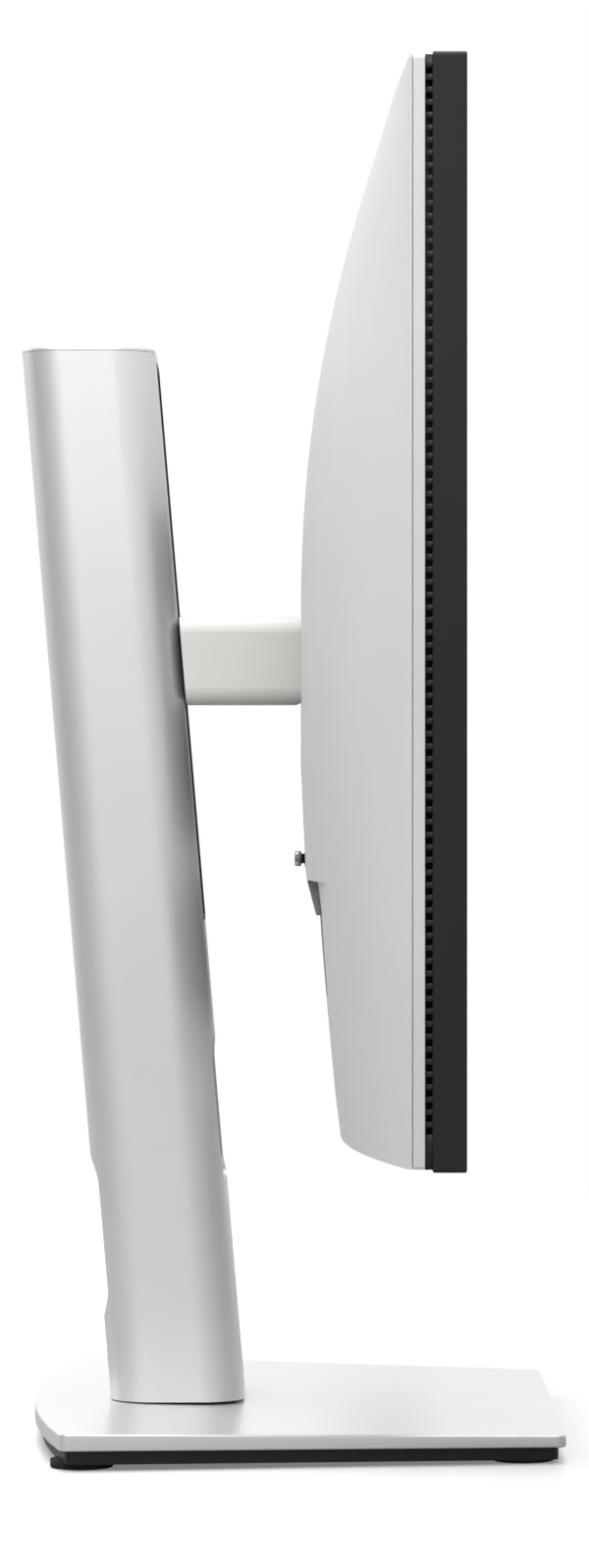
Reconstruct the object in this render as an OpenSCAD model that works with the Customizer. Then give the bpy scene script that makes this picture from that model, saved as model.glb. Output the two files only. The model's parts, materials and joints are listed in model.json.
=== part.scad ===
// Height-adjustable desktop monitor on a leaning column stand.
// Millimetres, +Z up, desk at Z = 0. The screen faces -Y and X runs along its width.

/* [Display head] */
// Width of the head
head_w = 611.3; // [500:1:760]
// Height of the head
head_h = 355.4; // [330:1:440]
// Depth of the black front frame
frame_d = 10.9; // [10:0.1:16]
// Depth of the slotted vent strip
vent_d = 2.4; // [2:0.1:6]
// Depth of the light band behind the vent strip
band_d = 3.9; // [3:0.1:8]
// How far the rear cover bulges behind the band
bulge_d = 35; // [33:1:45]
// How far the head's middle sits above the arm
head_lift = 10.3; // [0:0.1:20]
// Width of the frame beside the picture
bezel_side = 6.8; // [5:0.1:14]
// Width of the frame above the picture
bezel_top = 7.3; // [5:0.1:14]
// Width of the frame below the picture
bezel_low = 11.9; // [8:0.1:18]
// Wall of the frame, vent strip and band
trim_wall = 1.8; // [1.4:0.1:2.4]
// Wall of the rear cover
cover_wall = 2.4; // [1.8:0.1:3]
// Height of the ledge above the head's lower edge
ledge_h = 89.4; // [86:0.2:91]
// Distance between two vent slots
vent_pitch = 4; // [3.6:0.1:8]
// Length of one vent slot
vent_slot = 2.1; // [1.5:0.1:3]

/* [Stand] */
// Height of the arm above the desk
arm_z = 282; // [276:1:330]
// Height of the column's top
column_top = 396; // [394:1:450]
// Angle that the column leans back
lean_angle = 4.85; // [3:0.05:6]
// Width of the column
column_w = 72; // [68:1:76]
// Depth of the column, square to its length
column_d = 48.4; // [48:0.1:54]
// Wall of the column
column_wall = 2.2; // [1.8:0.1:2.2]
// Radius of the column's upright edges
column_r = 16; // [12:0.5:17]
// Height of the arm's cover
arm_h = 31.5; // [31:0.5:40]
// Width of the arm's cover
arm_w = 62; // [60:1:70]
// Depth of the base
base_d = 190; // [180:1:260]
// Width of the base at its rear
base_rear_w = 278; // [250:1:340]
// Width of the base at its front
base_front_w = 228; // [210:1:260]
// Height of the base at its rear
base_rear_h = 13.3; // [13:0.1:17]
// Height of the base at its front
base_front_h = 9.8; // [9.8:0.1:12.8]

/* [Fits] */
// Side of the square that the four mounting holes stand on
mount_pitch = 100; // [100]
// Radius of a mounting hole
mount_r = 2; // [2]
// Radial clearance of a turning shaft
fit = 0.05; // [0.02:0.01:0.1]
// Gap between pieces that move past each other
gap = 0.3; // [0.3:0.05:0.5]
// Radius of the swivel shaft
swivel_r = 12; // [10:0.5:14]
// Radius of the tilt shaft
tilt_r = 4; // [3:0.5:5]
// Radius of the pivot shaft
pivot_r = 8; // [6:0.5:9]
// Radius of the joystick's cap
stick_r = 2.9; // [2.4:0.1:3]
// Radius of the power button
power_r = 3.6; // [3:0.1:3.8]

/* [Hidden] */
$fn = 48;

// --- Levels of the head, from the screen to the back ---
front_y = -54.7;
frame_y = front_y + frame_d;
vent_y = frame_y + vent_d;
band_y = vent_y + band_d;
head_mid = arm_z + head_lift;
head_low = head_mid - head_h / 2;
head_top = head_mid + head_h / 2;
half_w = head_w / 2;
trim_inset = 1;
lip_t = 1.6;

// --- Mounting well and pivot ---
well = 62;
well_wall = 2;
hook_z = 48;
chassis_y = -21;
boss_t = 3;
plate_t = 3;
plate_rim = 3.2;
plate_y = chassis_y + plate_rim;
plate_back = plate_y + plate_t;
plate_w = 80;
plate_half = 52;
tilt_y = 9.5;

// --- Column ---
foot_z = 12.5;
foot_y = 42.65;
foot_gap = 0.6;
cap_t = 1.8;
half_cw = column_w / 2;
half_cd = column_d / 2;
in_w = half_cw - column_wall;
in_d = half_cd - column_wall;
in_r = column_r - column_wall;
travel_up = 80;
travel_down = 70;
s_arm = (arm_z - foot_z) / cos(lean_angle);
track_w = 30;
track_end = 12;

// --- Base ---
base_arc_r = 704;
base_corner = 4;
top_t = 1.6;
weight_t = 4.5;
floor_t = 2;
foot_r = 11;

// ---------------------------------------------------------------- shapes
function arc(cx, cy, r, a0, a1, n) =
    [for (i = [0:n]) let (a = a0 + (a1 - a0) * i / n) [cx + r * cos(a), cy + r * sin(a)]];

function round_rect(hx, hy, r, n = 8) = concat(
    arc(hx - r, hy - r, r, 0, 90, n), arc(r - hx, hy - r, r, 90, 180, n),
    arc(r - hx, r - hy, r, 180, 270, n), arc(hx - r, r - hy, r, 270, 360, n));

// Arc that rounds the corner p between the points a and b.
function corner(a, p, b, r, n = 6) = let (
    u = (a - p) / norm(a - p), v = (b - p) / norm(b - p), h = acos(u * v) / 2,
    c = p + (u + v) / norm(u + v) * r / sin(h), s = p + u * r / tan(h) - c,
    e = p + v * r / tan(h) - c, a0 = atan2(s[1], s[0]),
    d = (atan2(e[1], e[0]) - a0 + 540) % 360 - 180)
    [for (i = [0:n]) c + r * [cos(a0 + d * i / n), sin(a0 + d * i / n)]];

module box(lo, hi) translate(lo) cube(hi - lo);
module along_x(x0, x1) translate([x0, 0, 0]) rotate([90, 0, 90]) linear_extrude(x1 - x0) children();
module along_y(y0, y1) translate([0, y1, 0]) rotate([90, 0, 0]) linear_extrude(y1 - y0) children();
module rod_x(x0, x1, r) translate([x0, 0, 0]) rotate([0, 90, 0]) cylinder(h = x1 - x0, r = r);
module rod_y(y0, y1, r) translate([0, y1, 0]) rotate([90, 0, 0]) cylinder(h = y1 - y0, r = r);
module rod_z(z0, z1, r) translate([0, 0, z0]) cylinder(h = z1 - z0, r = r);

// ---------------------------------------------------------------- base
function base_edge(y, front, rear) = front + (rear - front) * (y + base_d / 2) / base_d;
function base_top(y) = base_edge(y, base_front_h, base_rear_h);
function skirt_low(y) = base_edge(y, skirt_ends[0], skirt_ends[1]);
function weight_low(y) = base_top(y) - top_t - weight_t;

// Plan of the base, drawn in from its edge by i: straight front, arc at the rear.
function base_outline(i) = let (
    r = base_arc_r - i, cy = base_d / 2 - base_arc_r, hx = base_rear_w / 2 - i,
    a0 = acos(hx / r), rear = [for (k = [0:20]) let (a = a0 + (180 - 2 * a0) * k / 20)
        [r * cos(a), cy + r * sin(a)]],
    fl = [i - base_front_w / 2, i - base_d / 2], fr = [base_front_w / 2 - i, i - base_d / 2])
    concat(corner(rear[20], fl, fr, base_corner), corner(fl, fr, rear[0], base_corner),
        corner(fr, rear[0], rear[1], base_corner), [for (k = [2:18]) rear[k]],
        corner(rear[19], rear[20], fl, base_corner));

// Slab of the base's plan between two sloping levels, each given at the front and the rear.
module base_slab(i, low, high) {
    y = base_d / 2;
    intersection() {
        translate([0, 0, -5]) linear_extrude(40) polygon(base_outline(i));
        along_x(-base_rear_w, base_rear_w)
            polygon([[-y, low[0]], [y, low[1]], [y, high[1]], [-y, high[0]]]);
    }
}

function ends(low, lift = 0) = [low[0] + lift, low[1] + lift];
top_ends = [base_front_h, base_rear_h];
rim_ends = [5.6, 7.1];
skirt_ends = [1.1, 2.3];
rim_t = 2;
skirt_in = 2.6;
foot_spots = [[-102, -80], [102, -80], [-122, 74], [122, 74]];
screw_spots = [[-70, -70], [70, -70], [-90, 40], [90, 40], [-45, 70], [45, 70]];

module at_swivel() translate([0, foot_y, 0]) children();

module base_plate() color([0.86, 0.86, 0.86]) difference() {
    base_slab(0, rim_ends, top_ends);
    base_slab(rim_t, [-4, -4], ends(top_ends, -top_t));
    at_swivel() rod_z(0, 30, swivel_r + 10);
}

module base_weight() color([0.45, 0.46, 0.48]) difference() {
    base_slab(rim_t + 3, ends(top_ends, -top_t - weight_t), ends(top_ends, -top_t));
    at_swivel() rod_z(0, 30, swivel_r + 9.4);
    for (p = screw_spots) translate(p) rod_z(0, 30, 1.55);
}

module base_skirt() color([0.12, 0.12, 0.14]) difference() {
    base_slab(skirt_in, skirt_ends, ends(top_ends, -top_t - gap));
    base_slab(skirt_in + 1.6, ends(skirt_ends, floor_t), [20, 20]);
    at_swivel() rod_z(0, 30, 10.5);
    for (p = foot_spots) translate(p) rod_z(-1, skirt_low(p[1]) + 0.7, foot_r + 0.1);
    for (p = screw_spots) translate(p) {
        rod_z(0, 30, 1.6);
        rod_z(0, skirt_low(p[1]) + 1.1, 3.1);
    }
}

module base_feet() color([0.07, 0.07, 0.07])
    for (p = foot_spots) translate(p) rod_z(0, skirt_low(p[1]) + 0.7, foot_r);

module base_screws() color([0.7, 0.7, 0.72])
    for (p = screw_spots) translate(p) {
        rod_z(skirt_low(p[1]) + 0.3, skirt_low(p[1]) + 1.1, 2.8);
        rod_z(skirt_low(p[1]) + 1.1, base_top(p[1]) - top_t - 0.6, 1.5);
    }

module swivel_race() color([0.6, 0.6, 0.62]) at_swivel() difference() {
    rod_z(weight_low(foot_y + 22) - 0.4, base_top(foot_y), swivel_r + 9.3);
    rod_z(0, 30, swivel_r + fit);
}

module column_thumbscrew() color([0.75, 0.75, 0.77]) at_swivel() difference() {
    union() {
        rod_z(2.6, 5.6, 9);
        rod_z(5.6, 17, 3);
    }
    box([-7, -0.8, 2], [7, 0.8, 3.6]);
}

// ---------------------------------------------------------------- column
// The column's own frame: X across, Y towards its back, Z along its length.
module lean() translate([0, foot_y, foot_z]) rotate([-lean_angle, 0, 0]) children();
module column_bar(hx, hy, r) lean() translate([0, 0, -30]) linear_extrude(column_top + 60)
    polygon(round_rect(hx, hy, r));
module level(z0, z1) box([-200, -100, z0], [200, 300, z1]);
function column_front(z) = foot_y - half_cd / cos(lean_angle) + (z - foot_z) * tan(lean_angle);
function column_back(z) = foot_y + half_cd / cos(lean_angle) + (z - foot_z) * tan(lean_angle);
shell_low = foot_z + foot_gap;
shell_top = column_top - cap_t;

// Cable passage: a mouth in the front and a lower one at the back.
front_mouth = [91, 145];
rear_mouth = [42, 103];
front_mouth_w = 25.5;
rear_mouth_w = 28.5;
plug_gap = 0.2;

module mouth(z, hw, r, y0, y1)
    translate([0, 0, (z[0] + z[1]) / 2]) along_y(y0, y1) polygon(round_rect(hw, (z[1] - z[0]) / 2, r));

module column_shell() color([0.8, 0.8, 0.8]) difference() {
    intersection() {
        column_bar(half_cw, half_cd, column_r);
        level(shell_low, shell_top);
    }
    column_bar(in_w, in_d, in_r);
    lean() box([-track_w / 2, -half_cd - 5, s_arm - travel_down - 20 - track_end / 2],
        [track_w / 2, -in_d + 1, s_arm + travel_up + 20 + track_end / 2]);
    mouth(front_mouth, front_mouth_w, 10, column_front(91) - 9, foot_y);
    mouth(rear_mouth, rear_mouth_w, 12, foot_y + 12, column_back(103) + 9);
}

module column_cap() color([0.78, 0.78, 0.78]) {
    intersection() {
        column_bar(half_cw, half_cd, column_r);
        level(shell_top, column_top);
    }
    intersection() {
        column_bar(in_w - plug_gap, in_d - plug_gap, in_r - plug_gap);
        level(shell_top - 2, shell_top);
    }
}

module column_foot() color([0.15, 0.15, 0.16]) difference() {
    union() {
        intersection() {
            column_bar(in_w - 0.1, in_d - 0.1, in_r - 0.1);
            level(shell_low, shell_low + 6);
        }
        at_swivel() rod_z(base_top(foot_y) + 0.4, shell_low, swivel_r + 8);
        at_swivel() rod_z(weight_low(foot_y) + 0.4, shell_low, swivel_r);
    }
    at_swivel() rod_z(0, 40, 3 + fit);
}

duct_t = 1.6;
module duct_side(t) polygon([
    [column_front(front_mouth[0]), front_mouth[0] - t], [column_front(front_mouth[1]), front_mouth[1] + t],
    [column_back(rear_mouth[1]), rear_mouth[1] + t], [column_back(rear_mouth[0]), rear_mouth[0] - t]]);

module cable_duct() color([0.16, 0.16, 0.17]) intersection() {
    difference() {
        along_x(-rear_mouth_w - duct_t, rear_mouth_w + duct_t) duct_side(duct_t);
        along_x(-rear_mouth_w, rear_mouth_w) duct_side(0);
    }
    column_bar(in_w - 0.1, in_d - 0.1, in_r - 0.1);
}

// Rails, drum and block share these levels, in the column's own frame.
rail_low = 168;
rail_high = s_arm + travel_up + 26;
web_x = 22.4;
web_t = 1.6;
rail_front = -21;
guide_in = 18.6;
block_front = -19;
block_back = -5;
block_half = 24;
plate_d = in_d - 2.4;
drum_d = 8;
drum_r = 10;

module guide_rails() color([0.62, 0.63, 0.65]) lean() for (k = [0, 1]) mirror([k, 0, 0]) {
    box([web_x, rail_front, rail_low], [web_x + web_t, plate_d, rail_high]);
    box([guide_in, rail_front, rail_low], [web_x, rail_front + 1.4, rail_high]);
    box([guide_in, block_back + 0.6, rail_low], [web_x, block_back + 2, rail_high]);
}

module rail_back() color([0.58, 0.59, 0.6]) lean() difference() {
    box([-web_x - web_t, plate_d, rail_low], [web_x + web_t, plate_d + 1.6, rail_high]);
    for (x = [-15, 15], s = [rail_low + 20, rail_high - 20])
        translate([x, 0, s]) rod_y(plate_d - 1, plate_d + 3, 1.55);
}

module spring_strip() color([0.72, 0.72, 0.7]) lean() {
    box([-6, drum_d + drum_r + 0.6, s_arm - travel_down], [6, drum_d + drum_r + 1, rail_high - 4]);
    box([-6, drum_d + drum_r + 1, rail_high - 12], [6, plate_d, rail_high - 4]);
}

module column_screws() color([0.7, 0.7, 0.72]) lean()
    for (x = [-15, 15], s = [rail_low + 20, rail_high - 20]) translate([x, 0, s]) {
        rod_y(plate_d - 1.4, plate_d, 3);
        rod_y(plate_d, plate_d + 2.2, 1.5);
    }

// ---------------------------------------------------------------- carriage and arm
module slide_block() color([0.3, 0.31, 0.33]) lean() difference() {
    union() {
        box([-18, block_front, s_arm - block_half], [18, block_back, s_arm + block_half]);
        for (k = [0, 1]) mirror([k, 0, 0])
            box([8.4, block_back, s_arm - 8], [11, drum_d + 5, s_arm + 8]);
    }
    translate([0, drum_d, s_arm]) rod_x(-20, 20, 2 + fit);
    for (x = [-9, 9], s = [-15, 15]) translate([x, 0, s_arm + s]) rod_y(-30, -9, 1.5 + fit);
}

module glide_pads() color([0.9, 0.9, 0.86]) lean()
    for (k = [0, 1], s = [-block_half, block_half - 14]) mirror([k, 0, 0])
        box([18, block_front - 0.3, s_arm + s], [web_x - gap, block_back + 0.3, s_arm + s + 14]);

module spring_axle() color([0.7, 0.7, 0.72]) lean()
    translate([0, drum_d, s_arm]) rod_x(-12.5, 12.5, 2);

module spring_drum() color([0.66, 0.66, 0.63]) lean() translate([0, drum_d, s_arm]) difference() {
    union() {
        rod_x(-6, 6, drum_r);
        rod_x(-8.1, 8.1, 4);
    }
    rod_x(-20, 20, 2 + fit);
}

module at_tilt() translate([0, tilt_y, arm_z]) children();
cross_y = 26;

module arm_frame() color([0.5, 0.5, 0.52]) difference() {
    union() {
        at_tilt() for (k = [0, 1]) mirror([k, 0, 0]) {
            rod_x(12.7 + gap, 17, 9);
            box([12.7 + gap, 0, -9], [17, cross_y - tilt_y, 9]);
        }
        box([-17, cross_y - 5, arm_z - 9], [17, cross_y, arm_z + 9]);
        translate([0, 0, arm_z]) along_y(cross_y, cross_y + 3)
            polygon(round_rect(arm_w / 2 - 2 - gap, arm_h / 2 - 2 - gap, 4));
        box([-13, cross_y, arm_z - 9], [13, 80, arm_z + 9]);
        lean() box([-14, block_front - 2.2, s_arm - 20], [14, block_front, s_arm + 20]);
    }
    lean() box([-30, block_front, s_arm - 60], [30, 60, s_arm + 60]);
    at_tilt() rod_x(-30, 30, tilt_r + fit);
    lean() for (x = [-9, 9], s = [-15, 15]) translate([x, 0, s_arm + s]) rod_y(-30, -9, 1.5 + fit);
}

module arm_screws() color([0.7, 0.7, 0.72]) lean()
    for (x = [-9, 9], s = [-15, 15]) translate([x, 0, s_arm + s]) {
        rod_y(block_front - 3.6, block_front - 2.2, 2.8);
        rod_y(block_front - 2.2, -10, 1.5);
    }

// Side view of the arm, drawn in by t: a nose ahead of the tilt shaft, then straight to the column.
nose = 13.2;
nose_r = 4;
module arm_side(t) polygon(concat(
    arc(tilt_y - nose + nose_r, arm_z + arm_h / 2 - nose_r, nose_r - t, 90, 180, 8),
    arc(tilt_y - nose + nose_r, arm_z - arm_h / 2 + nose_r, nose_r - t, 180, 270, 8),
    [[60, arm_z - arm_h / 2 + t], [60, arm_z + arm_h / 2 - t]]));

module arm_cover() color([0.83, 0.82, 0.8]) difference() {
    intersection() {
        along_x(-arm_w / 2, arm_w / 2) arm_side(0);
        translate([0, 0, arm_z]) along_y(-20, 60) polygon(round_rect(arm_w / 2, arm_h / 2, 6));
        lean() box([-60, -200, 0], [60, -half_cd - 0.6, column_top]);
    }
    intersection() {
        along_x(2 - arm_w / 2, arm_w / 2 - 2) arm_side(2);
        translate([0, 0, arm_z]) along_y(-20, 60) polygon(round_rect(arm_w / 2 - 2, arm_h / 2 - 2, 4));
    }
    box([-11.5, -20, arm_z - 10], [11.5, tilt_y, arm_z + 13]);
}

module tilt_pin() color([0.72, 0.72, 0.74]) at_tilt() for (k = [0, 1]) mirror([k, 0, 0]) {
    rod_x(0, 20.2, tilt_r);
    rod_x(20.2, 23, 6.5);
}

module tilt_washers() color([0.8, 0.78, 0.6]) at_tilt() for (k = [0, 1]) mirror([k, 0, 0])
    for (i = [0:1]) difference() {
        rod_x(17 + 1.6 * i, 18.5 + 1.6 * i, 8);
        rod_x(0, 30, tilt_r + fit);
    }

// ---------------------------------------------------------------- tilt bracket and pivot
disc_y = plate_back + gap + 1.5;
module at_arm() translate([0, 0, arm_z]) children();

module tilt_bracket() color([0.42, 0.43, 0.45]) difference() {
    union() {
        at_tilt() rod_x(-12.7, 12.7, 9);
        box([-10, disc_y + 2, arm_z - 6], [10, tilt_y, arm_z + 6]);
        at_arm() rod_y(disc_y, disc_y + 4, 26);
        at_arm() rod_y(plate_y - 2, disc_y, pivot_r);
    }
    at_tilt() rod_x(-30, 30, tilt_r + fit);
}

module pivot_ring() color([0.85, 0.83, 0.75]) at_arm() difference() {
    rod_y(disc_y - 1.5, disc_y, 22);
    rod_y(-40, 0, pivot_r + fit);
}

module pivot_nut() color([0.7, 0.7, 0.72]) at_arm() difference() {
    rod_y(plate_y - 2, plate_y - gap, 12);
    rod_y(-40, 0, pivot_r + 0.01);
}

module stand_plate() color([0.32, 0.33, 0.35]) difference() {
    union() {
        box([-plate_w / 2, chassis_y, arm_z - plate_half], [plate_w / 2, plate_back, arm_z + plate_half]);
        for (x = [-30, 20]) {
            box([x, chassis_y - 3.6, arm_z + hook_z], [x + 10, chassis_y, arm_z + plate_half]);
            box([x, chassis_y - 5, arm_z + hook_z], [x + 10, chassis_y - 3.6, arm_z + 55]);
        }
    }
    box([4 - plate_w / 2, chassis_y - 0.01, arm_z + 4 - plate_half],
        [plate_w / 2 - 4, plate_y, arm_z + plate_half - 4]);
    at_arm() rod_y(-40, 0, pivot_r + fit);
}

// ---------------------------------------------------------------- release button
button_low = arm_z - 60.5;
button_high = arm_z - 54;
latch_y = chassis_y - boss_t - 0.5;

module release_button() color([0.14, 0.14, 0.15])
    box([-8, latch_y, button_low], [8, chassis_y + 7.5, button_high]);

module release_latch() color([0.6, 0.6, 0.62])
    box([-14, latch_y - 1.5, button_low - 1], [14, latch_y, arm_z - 50]);

// ---------------------------------------------------------------- head structure
tray_y = frame_y - 2.4;
chassis_half = 150;
chassis_low = arm_z - 68;
chassis_high = arm_z + 128;
sheet_t = 1.2;
chassis_back = chassis_y - 1.8;
flange_w = 8;
frame_screws = [for (x = [-1, 1], z = [chassis_low + 30, chassis_high - 30])
    [x * (chassis_half + flange_w / 2), 0, z]];
mount_spots = [for (x = [-1, 1], z = [-1, 1]) [x * mount_pitch / 2, z * mount_pitch / 2]];

module rear_chassis() color([0.66, 0.67, 0.68]) difference() {
    union() {
        difference() {
            union() {
                box([-chassis_half, tray_y, chassis_low], [chassis_half, chassis_back, chassis_high]);
                box([-chassis_half - flange_w, tray_y, chassis_low - flange_w],
                    [chassis_half + flange_w, tray_y + sheet_t, chassis_high + flange_w]);
            }
            box([sheet_t - chassis_half, tray_y - 1, chassis_low + sheet_t],
                [chassis_half - sheet_t, chassis_back - sheet_t, chassis_high - sheet_t]);
        }
        box([-well - 2, chassis_y - boss_t, arm_z - well - 2], [well + 2, chassis_y, arm_z + well + 2]);
    }
    for (p = mount_spots) translate([p[0], 0, arm_z + p[1]]) rod_y(-30, 0, mount_r);
    for (x = [-30, 20])
        box([x - gap, -30, arm_z + hook_z - gap], [x + 10 + gap, 0, arm_z + 56]);
    box([-8 - gap, -30, button_low - gap], [8 + gap, 0, button_high + gap]);
    for (p = frame_screws) translate(p) rod_y(-60, 0, 1.5 + fit);
    for (x = [-130:10:-80], k = [0, 1]) mirror([k, 0, 0])
        box([x, -30, arm_z - 20], [x + 4, 0, arm_z + 80]);
}

// Rise of the cover's surface behind the band at a place on the head.
ledge_z = head_low + ledge_h;
ledge_foot_z = ledge_z - 11;
flat_low = arm_z - 37;
flat_high = arm_z + 23;
function plateau(z) = 130 - 90 * (z - head_low) / head_h;
function side_fall(x, z) = pow(max(0, abs(x) - plateau(z)) / (half_w - plateau(z)), 2);
function rise_fall(z) =
    z > flat_high ? 30.4 * pow((z - flat_high) / (head_top - flat_high), 2) :
    z > flat_low ? 0 :
    z > ledge_z ? 1.8 * (flat_low - z) / (flat_low - ledge_z) :
    z > ledge_foot_z ? 1.8 + 5.5 * (ledge_z - z) / (ledge_z - ledge_foot_z) :
    7.3 + 6.6 * pow((ledge_foot_z - z) / (ledge_foot_z - head_low), 1.15);
cover_lip = 0.8;
function cover_y(x, z) = band_y + cover_lip
    + (bulge_d - cover_lip) * (1 - side_fall(x, z)) * (1 - rise_fall(z) / bulge_d);

cover_cols = 28;
cover_hx = half_w - trim_inset;
cover_z0 = head_low + trim_inset;
cover_z1 = head_top - trim_inset;
function spread(a, b, n) = [for (i = [0:n]) a + (b - a) * i / n];
// Rows of the cover's grid, with two of them on the edges of the ledge.
cover_rows = concat(spread(cover_z0, ledge_foot_z, 6), spread(ledge_z, cover_z1, 17));
function cover_row(i, t) = i == 0 ? cover_rows[0] + t
    : i == len(cover_rows) - 1 ? cover_rows[i] - t : cover_rows[i];
function cover_col(j, t) = (cover_hx - t) * (2 * j / cover_cols - 1);

// Closed shell with one wall thickness: an outer sheet, an inner sheet and the rim between them.
module cover_shell() {
    nr = len(cover_rows);
    nc = cover_cols + 1;
    outer = [for (i = [0:nr - 1], j = [0:nc - 1]) let (x = cover_col(j, 0), z = cover_row(i, 0))
        [x, cover_y(x, z), z]];
    inner = [for (i = [0:nr - 1], j = [0:nc - 1])
        let (x = cover_col(j, cover_wall), z = cover_row(i, cover_wall))
        [x, max(cover_y(x, z) - cover_wall, band_y + 0.05), z]];
    edge = concat([for (j = [0:nc - 2]) [0, j]], [for (i = [0:nr - 2]) [i, nc - 1]],
        [for (j = [nc - 1:-1:1]) [nr - 1, j]], [for (i = [nr - 1:-1:1]) [i, 0]]);
    ne = len(edge);
    no = nr * nc;
    rim_out = [for (e = edge) [cover_col(e[1], 0), band_y, cover_row(e[0], 0)]];
    rim_in = [for (e = edge) [cover_col(e[1], cover_wall), band_y, cover_row(e[0], cover_wall)]];
    points = concat(outer, inner, rim_out, rim_in);
    function at(e) = e[0] * nc + e[1];
    function quad(a, b, c, d) = [[a, b, c], [a, c, d]];
    quads = concat(
        [for (i = [0:nr - 2], j = [0:nc - 2]) let (a = i * nc + j) [a, a + 1, a + nc + 1, a + nc]],
        [for (i = [0:nr - 2], j = [0:nc - 2]) let (a = no + i * nc + j) [a, a + nc, a + nc + 1, a + 1]],
        [for (k = [0:ne - 1]) let (n = (k + 1) % ne)
            [at(edge[k]), 2 * no + k, 2 * no + n, at(edge[n])]],
        [for (k = [0:ne - 1]) let (n = (k + 1) % ne)
            [2 * no + k, 2 * no + ne + k, 2 * no + ne + n, 2 * no + n]],
        [for (k = [0:ne - 1]) let (n = (k + 1) % ne)
            [2 * no + ne + k, no + at(edge[k]), no + at(edge[n]), 2 * no + ne + n]]);
    polyhedron(points, [for (q = quads) each quad(q[0], q[1], q[2], q[3])]);
}

stick_x = 90;
power_x = 112;
control_z = ledge_z + 4.2;
stick_hole = stick_r + 0.7;
bay_half = 112;
bay_low = ledge_foot_z - 38;
bay_high = ledge_z - 3;
bay_y = -26;

module rear_cover() color([0.84, 0.84, 0.85]) difference() {
    cover_shell();
    box([-well, -40, arm_z - well], [well, 20, arm_z + well]);
    box([-bay_half, -40, bay_low], [bay_half, 20, bay_high]);
    translate([stick_x, 0, control_z]) rod_y(-30, 10, stick_hole);
    translate([power_x, 0, control_z]) rod_y(-30, 10, power_r + gap);
}

module cover_well() color([0.2, 0.2, 0.21]) difference() {
    box([-well - well_wall, chassis_y, arm_z - well - well_wall],
        [well + well_wall, cover_y(well, arm_z + well) - cover_wall - 0.5, arm_z + well + well_wall]);
    box([-well, -40, arm_z - well], [well, 20, arm_z + well]);
}

// Ring around the head between two levels.
module head_ring(y0, y1, inset, wall) difference() {
    box([inset - half_w, y0, head_low + inset], [half_w - inset, y1, head_top - inset]);
    box([inset + wall - half_w, y0 - 1, head_low + inset + wall],
        [half_w - inset - wall, y1 + 1, head_top - inset - wall]);
}

module mid_band() color([0.86, 0.86, 0.87]) {
    head_ring(vent_y, band_y, trim_inset, trim_wall);
    head_ring(vent_y, vent_y + 1.2, trim_inset + trim_wall, 4);
}

vent_margin = 5;
side_vents = floor((head_h - 2 * vent_margin - 9) / vent_pitch);
top_vents = floor((head_w - 2 * vent_margin - 9) / vent_pitch);
vent_cut = vent_d - 0.8;

module vent_strip() color([0.2, 0.2, 0.21]) difference() {
    head_ring(frame_y, vent_y, trim_inset, trim_wall);
    for (i = [0:side_vents], k = [0, 1]) mirror([k, 0, 0])
        translate([half_w - 8, frame_y + 0.4, head_top - vent_margin - i * vent_pitch - vent_slot])
            cube([12, vent_cut, vent_slot]);
    for (i = [0:top_vents])
        translate([vent_margin + 2 - half_w + i * vent_pitch, frame_y + 0.4, head_top - 8])
            cube([vent_slot, vent_cut, 12]);
}

glass_x = half_w - bezel_side;
glass_z0 = head_low + bezel_low;
glass_z1 = head_top - bezel_top;
lamp_x = half_w - 22;
lamp_z = head_low + bezel_low / 2;

module front_frame() color([0.13, 0.13, 0.14]) difference() {
    box([-half_w, front_y, head_low], [half_w, frame_y, head_top]);
    box([-glass_x, front_y - 1, glass_z0], [glass_x, frame_y + 1, glass_z1]);
    box([trim_wall - half_w, front_y + lip_t, head_low + trim_wall],
        [half_w - trim_wall, frame_y + 1, head_top - trim_wall]);
    box([lamp_x - 3, front_y - 1, lamp_z - 0.6], [lamp_x + 3, frame_y, lamp_z + 0.6]);
}

// Flat layer of the panel, larger than the picture by over on every side.
module layer(y0, t, over)
    box([-glass_x - over, y0, glass_z0 - over], [glass_x + over, y0 + t, glass_z1 + over]);

layer_gap = 0.1;
glass_t = 1.4;
sheets_t = 0.7;
guide_t = 3;
reflect_t = 0.4;
glass_y = front_y + lip_t + layer_gap;
sheets_y = glass_y + glass_t + layer_gap;
guide_y = sheets_y + sheets_t + layer_gap;
reflect_y = guide_y + guide_t + layer_gap;
inner_tray_y = reflect_y + reflect_t + layer_gap;

module screen_glass() color([0.03, 0.03, 0.04]) layer(glass_y, glass_t, 3);
module diffuser_sheets() color([0.93, 0.94, 0.95]) layer(sheets_y, sheets_t, 2.4);
module light_guide() color([0.9, 0.95, 0.95]) difference() {
    layer(guide_y, guide_t, 2.4);
    box([-400, guide_y - 1, glass_z0 - 4], [400, reflect_y + 1, glass_z0]);
}
module led_strip() color([0.95, 0.93, 0.7])
    box([-glass_x, guide_y, glass_z0 - 1.8], [glass_x, guide_y + guide_t, glass_z0 - 0.3]);
module back_reflector() color([0.97, 0.97, 0.97]) layer(reflect_y, reflect_t, 2.4);
module panel_tray() color([0.7, 0.71, 0.72]) difference() {
    box([-glass_x - 4.4, sheets_y, glass_z0 - 4.4], [glass_x + 4.4, tray_y, glass_z1 + 4.4]);
    box([-glass_x - 3.4, glass_y, glass_z0 - 3.4], [glass_x + 3.4, inner_tray_y, glass_z1 + 3.4]);
    for (p = frame_screws) translate(p) rod_y(-60, 0, 1.5 + fit);
}

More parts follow.
